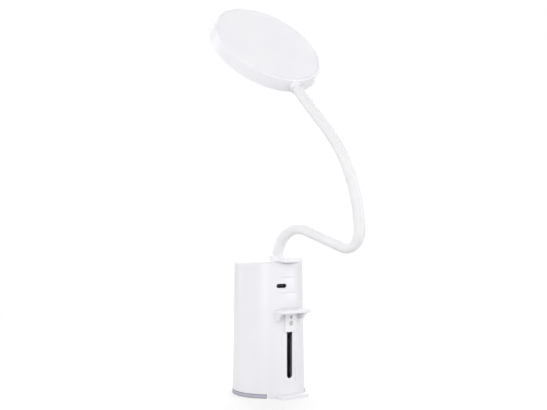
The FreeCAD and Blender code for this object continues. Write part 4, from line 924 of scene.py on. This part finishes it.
class LAMP_OT_power_button(Operator):
    """Round power button with a dished face and a flange behind the wall.

    The face is sunk by the dish times the square of 1 less the squared share of the radius.
    """

    bl_idname = "clamp_lamp.power_button"
    bl_label = "Power button"

    def execute(self, context):
        sizes = context.scene.lamp_fittings
        low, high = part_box("power_button")
        face, back = -low.y, -high.y
        flange = (high.z - low.z) / 2
        step = back + sizes.flange_thickness
        rim = sizes.button_radius - sizes.button_round - sizes.flange_round
        radius = np.linspace(0, rim, 24)
        dish = face - sizes.button_dish * (1 - (radius / rim) ** 2) ** 2
        side = rounded([
            (rim, face),
            (sizes.button_radius, face, sizes.button_round),
            (sizes.button_radius, step),
            (flange, step, sizes.flange_round),
            (flange, back, sizes.flange_round),
            (0, back),
        ])
        place = pointing((0, -1, 0), (0, 0, (low.z + high.z) / 2))
        piece = turned_piece("button_cap", capped(radius, dish, side), place, around=72)
        dress(piece, "white_button", "button", ["power_button"])
        return {"FINISHED"}


class LAMP_OT_jaw_screws(Operator):
    """Two cross-recessed screws in the sliding jaw"""

    bl_idname = "clamp_lamp.jaw_screws"
    bl_label = "Jaw screws"

    def execute(self, context):
        sizes = context.scene.lamp_fittings
        low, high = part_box("slider_screws")
        screws = {
            sizes.upper_screw_drop: sizes.upper_screw_head,
            sizes.lower_screw_drop: sizes.lower_screw_head,
        }
        grids = []
        for drop, head in screws.items():
            place = pointing((0, 1, 0), (0, high.y, JAW_TOP - drop))
            points = screw_points(head, sizes, high.y - low.y)
            grids.append((placed(points, place), False, True))
        dress(surface("jaw_screws", grids), "steel", "jaw", ["slider_screws"])
        return {"FINISHED"}


def screw_points(head, sizes, length):
    """Screw with its head's top at height nothing.

    The top is turned, and then sunk by a cross: the depth is full where the smaller of |x| and
    |y| is under the blade's half width and the larger is under its half length, and it fades to
    nothing over a tenth of the head's radius.
    """
    flat = head * 0.86
    radius = np.linspace(0, flat, 26)
    top = -sizes.screw_dome * (radius / head) ** 2
    side = rounded([
        (flat, top[-1]),
        (head, top[-1], sizes.screw_round),
        (head, -sizes.screw_head_height),
        (sizes.screw_shank, -sizes.screw_head_height),
        (sizes.screw_shank, -length),
        (0, -length),
    ])
    points = turned(capped(radius, top, side), around=96)
    places = np.abs(points[: len(top), :, :2])
    smaller, larger = places.min(-1), places.max(-1)
    fade = head / 10
    across = np.clip((head * sizes.drive_width + fade - smaller) / fade, 0, 1)
    along = np.clip((head * sizes.drive_length + fade - larger) / fade, 0, 1)
    points[: len(top), :, 2] -= sizes.drive_depth * across * along
    return points


class LAMP_OT_inlet_contacts(Operator):
    """Two rows of plated contacts on the charging socket's tongue"""

    bl_idname = "clamp_lamp.inlet_contacts"
    bl_label = "Inlet contacts"

    def execute(self, context):
        sizes = context.scene.lamp_fittings
        low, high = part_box("usb_c_socket")
        across = np.array([math.cos(sizes.inlet_angle), -math.sin(sizes.inlet_angle), 0])
        middle = (low.z + high.z) / 2
        places = (np.arange(sizes.contacts) - (sizes.contacts - 1) / 2) * sizes.contact_pitch
        heights = (middle - sizes.tongue_height / 2, middle + sizes.tongue_height / 2)
        grids = [
            (strip(across * place + np.array([0, 0, height]), across, sizes), False, True)
            for height in heights
            for place in places
        ]
        dress(surface("inlet_contacts", grids), "steel", "base", maker=gold_plate)
        return {"FINISHED"}


def strip(centre, across, sizes):
    """Flat contact with rounded sides, closed at its tail and drawn in to a point at its nose.

    Its section is an oval of the contact's width and thickness, carried along a straight line.
    """
    turn = np.linspace(0, 2 * math.pi, 12, endpoint=False)
    wide = sizes.contact_width / 2 * np.cos(turn)
    thick = sizes.contact_thickness / 2 * np.sin(turn)
    front = sizes.inlet_mouth - sizes.tongue_inset - sizes.contact_inset
    tail = front - sizes.contact_length
    station = np.array([tail, tail, front - sizes.contact_nose, front])
    size = np.array([0, 1, 1, 0])[:, None, None]
    section = wide[:, None] * across + thick[:, None] * np.array([0, 0, 1])
    out = np.array([-across[1], across[0], 0])
    line = centre + station[:, None] * out
    return line[:, None] + size * section[None]


class LAMP_OT_jaw_pads(Operator):
    """Grooved rubber faces of the two jaws"""

    bl_idname = "clamp_lamp.jaw_pads"
    bl_label = "Jaw pads"

    def execute(self, context):
        sizes = context.scene.lamp_fittings
        for node, body, up in (("jaw_pad", "jaw", 1), ("upper_jaw_pad", "base", -1)):
            grids = pad_grids(*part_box(node), up, sizes)
            dress(surface(f"{node}_face", grids), "white_rubber", body, [node])
        return {"FINISHED"}


def pad_grids(low, high, up, sizes):
    """Pad with a grooved face.

    Over x and y from -1 to 1 the height is the thickness, less the grooves, times the sixth
    root of the product of 1 - |x| to the twelfth and 1 - |y| to the twelfth. A groove is where
    a raised cosine along y is in its lowest third, short of the pad's ends.
    """
    across, along = (np.sin(np.linspace(-1, 1, count) * math.pi / 2) for count in (61, 97))
    x, y = np.meshgrid(across, along, indexing="ij")
    edge = np.clip((1 - np.abs(x) ** 12) * (1 - np.abs(y) ** 12), 0, 1) ** (1 / 6)
    raised = 0.5 - 0.5 * np.cos(math.pi * (y + 1) * sizes.pad_ribs)
    short_of_ends = np.abs(y) < 0.97
    groove = sizes.pad_groove * (1 - np.clip(raised * 3, 0, 1)) * short_of_ends
    base = low.z if up > 0 else high.z
    height = base + up * (high.z - low.z - groove) * edge
    middle, half = (low + high) / 2, (high - low) / 2
    plan_x, plan_y = middle.x + half.x * x, middle.y + half.y * y
    face = np.stack([plan_x, plan_y, height], -1)
    back = np.stack([plan_x, plan_y, np.full_like(x, base)], -1)
    return [(face, False, False), (back, False, False)]


class LAMP_OT_finishes(Operator):
    """Finishes of the solids that stay in view"""

    bl_idname = "clamp_lamp.finishes"
    bl_label = "Finishes"

    def execute(self, context):
        # The charging socket takes painted shade in place of its steel.
        special = {"usb_c_socket": socket_painted_shade}
        for name, node in frame["nodes"].items():
            for slot in node.material_slots:
                given = slot.material.name.split(".")[0]
                slot.material = made_finish(special.get(name) or SLOT_FINISHES[given])
        return {"FINISHED"}


# ---- studio ----


def seen_directly(tree):
    """One for the rays whose white background shows, from the eye or in a gloss or glass."""
    ray = add_node(tree, "LightPath").outputs
    either = maths(tree, "MAXIMUM", ray["Is Camera Ray"], ray["Is Glossy Ray"])
    return maths(tree, "MAXIMUM", either, ray["Is Transmission Ray"])


def floor_finish(settings):
    """Pale floor that takes the shadow near the lamp and fades to plain white around it."""
    material = bpy.data.materials.new("studio_floor")
    material.use_nodes = True
    tree = material.node_tree
    tree.nodes.clear()
    place = add_node(tree, "TexCoord").outputs["Object"]
    distance = add_node(tree, "VectorMath", {"operation": "LENGTH"}, i0=place)
    fade = ramp(tree, distance.outputs["Value"], settings.near, settings.far)
    seen = seen_directly(tree)
    matt = add_node(tree, "BsdfDiffuse", Color=opaque(settings.floor_grey))
    glow = maths(tree, "MULTIPLY", seen, settings.floor_glow)
    veil = add_node(tree, "Emission", Color=(1, 1, 1, 1), Strength=glow)
    near = add_node(tree, "AddShader", i0=matt.outputs[0], i1=veil.outputs[0])
    white = add_node(tree, "Emission", Color=(1, 1, 1, 1), Strength=1.0)
    share_far = maths(tree, "MULTIPLY", fade, seen)
    mix = add_node(tree, "MixShader", i0=share_far, i1=near.outputs[0], i2=white.outputs[0])
    add_node(tree, "OutputMaterial", Surface=mix.outputs[0])
    return material


# Studio lamps: turn to the camera's right about the axis, distance from it, height, height that
# the lamp faces, width, height of the light itself and power. The strips stand nearly upright,
# just clear of the floor.
STUDIO_LAMPS = {
    "left_strip": (-12, 1.3, 0.60, 0.42, 0.43, 1.12, 9.5),
    "side_strip": (85, 0.9, 0.42, 0.42, 0.40, 0.78, 2.9),
    "rear_strip": (-107, 0.9, 0.42, 0.42, 0.20, 0.78, 1.45),
    "overhead_box": (0, 0.02, 1.5, 0.16, 1.0, 1.0, 0.5),
    "back_box": (180, 0.9, 0.65, 0.16, 1.0, 0.8, 7.3),
}


class LAMP_OT_stage(Operator):
    """Floor, even light, studio lamps and camera"""

    bl_idname = "clamp_lamp.stage"
    bl_label = "Studio"

    def execute(self, context):
        settings = context.scene.lamp_stage
        edge = np.linspace(-4, 4, 9)
        x, y = np.meshgrid(edge, edge, indexing="ij")
        floor = surface("studio_floor", [(np.stack([x, y, 0 * x], -1), False, False)])
        if floor.data.polygons[0].normal.z < 0:
            floor.data.flip_normals()
        floor.data.materials.append(floor_finish(settings))
        self.make_world(context.scene, settings)
        self.make_lamps(settings)
        self.make_camera(context.scene, settings)
        context.scene.view_settings.view_transform = "Standard"
        return {"FINISHED"}

    def make_world(self, scene, settings):
        world = bpy.data.worlds.new("studio")
        world.use_nodes = True
        tree = world.node_tree
        tree.nodes.clear()
        tint = opaque(settings.fill_tint)
        light = add_node(tree, "Background", Color=tint, Strength=settings.fill)
        white = add_node(tree, "Background", Color=(1, 1, 1, 1), Strength=1.0)
        mix = add_node(
            tree, "MixShader",
            i0=seen_directly(tree), i1=light.outputs[0], i2=white.outputs[0],
        )
        add_node(tree, "OutputWorld", Surface=mix.outputs[0])
        scene.world = world

    def make_lamps(self, settings):
        camera_side = settings.camera_turn - math.pi / 2
        for name, (turn, distance, height, aim, width, tall, power) in STUDIO_LAMPS.items():
            data = bpy.data.lights.new(name, "AREA")
            data.shape = "RECTANGLE"
            data.size, data.size_y = width, tall
            data.energy = power
            data.cycles.use_multiple_importance_sampling = False
            heading = camera_side + math.radians(turn)
            place = Vector((math.cos(heading) * distance, math.sin(heading) * distance, height))
            lamp = in_scene(name, data)
            lamp.matrix_world = pointing(place - Vector((0, 0, aim)), place)
            lamp.visible_camera = False

    def make_camera(self, scene, settings):
        data = bpy.data.cameras.new("camera")
        data.sensor_width = 36.0
        data.lens = settings.lens
        data.clip_start = 0.01
        camera = in_scene("camera", data)
        camera.location = settings.camera_place
        camera.rotation_euler = (math.pi / 2, 0, settings.camera_turn)
        scene.camera = camera


# ---- add-on ----

STEPS = (
    LAMP_OT_stage,
    LAMP_OT_finishes,
    LAMP_OT_neck_sleeve,
    LAMP_OT_head_cover,
    LAMP_OT_diffuser,
    LAMP_OT_power_button,
    LAMP_OT_jaw_screws,
    LAMP_OT_inlet_contacts,
    LAMP_OT_jaw_pads,
)

SETTINGS = {
    "lamp_neck": NeckSizes,
    "lamp_head": HeadSizes,
    "lamp_fittings": FittingSizes,
    "lamp_colours": FinishColours,
    "lamp_stage": StageSettings,
}


class LAMP_PT_panel(Panel):
    """Sizes, colours and steps of the clamp lamp"""

    bl_idname = "LAMP_PT_panel"
    bl_label = "Clamp lamp"
    bl_space_type = "VIEW_3D"
    bl_region_type = "UI"
    bl_category = "Clamp lamp"

    def draw(self, context):
        for step in STEPS:
            self.layout.operator(step.bl_idname)
        for name, group in SETTINGS.items():
            box = self.layout.box()
            for field in group.__annotations__:
                box.prop(getattr(context.scene, name), field)


def register():
    for group in SETTINGS.values():
        bpy.utils.register_class(group)
    for name, group in SETTINGS.items():
        setattr(bpy.types.Scene, name, PointerProperty(type=group))
    for step in STEPS:
        bpy.utils.register_class(step)
    bpy.utils.register_class(LAMP_PT_panel)


def unregister():
    bpy.utils.unregister_class(LAMP_PT_panel)
    for step in reversed(STEPS):
        bpy.utils.unregister_class(step)
    for name, group in SETTINGS.items():
        delattr(bpy.types.Scene, name)
        bpy.utils.unregister_class(group)


def main():
    register()
    bpy.ops.clamp_lamp.stage()
    bpy.ops.clamp_lamp.finishes()
    bpy.ops.clamp_lamp.neck_sleeve()
    bpy.ops.clamp_lamp.head_cover()
    bpy.ops.clamp_lamp.diffuser()
    bpy.ops.clamp_lamp.power_button()
    bpy.ops.clamp_lamp.jaw_screws()
    bpy.ops.clamp_lamp.inlet_contacts()
    bpy.ops.clamp_lamp.jaw_pads()


if __name__ == "__main__":
    main()
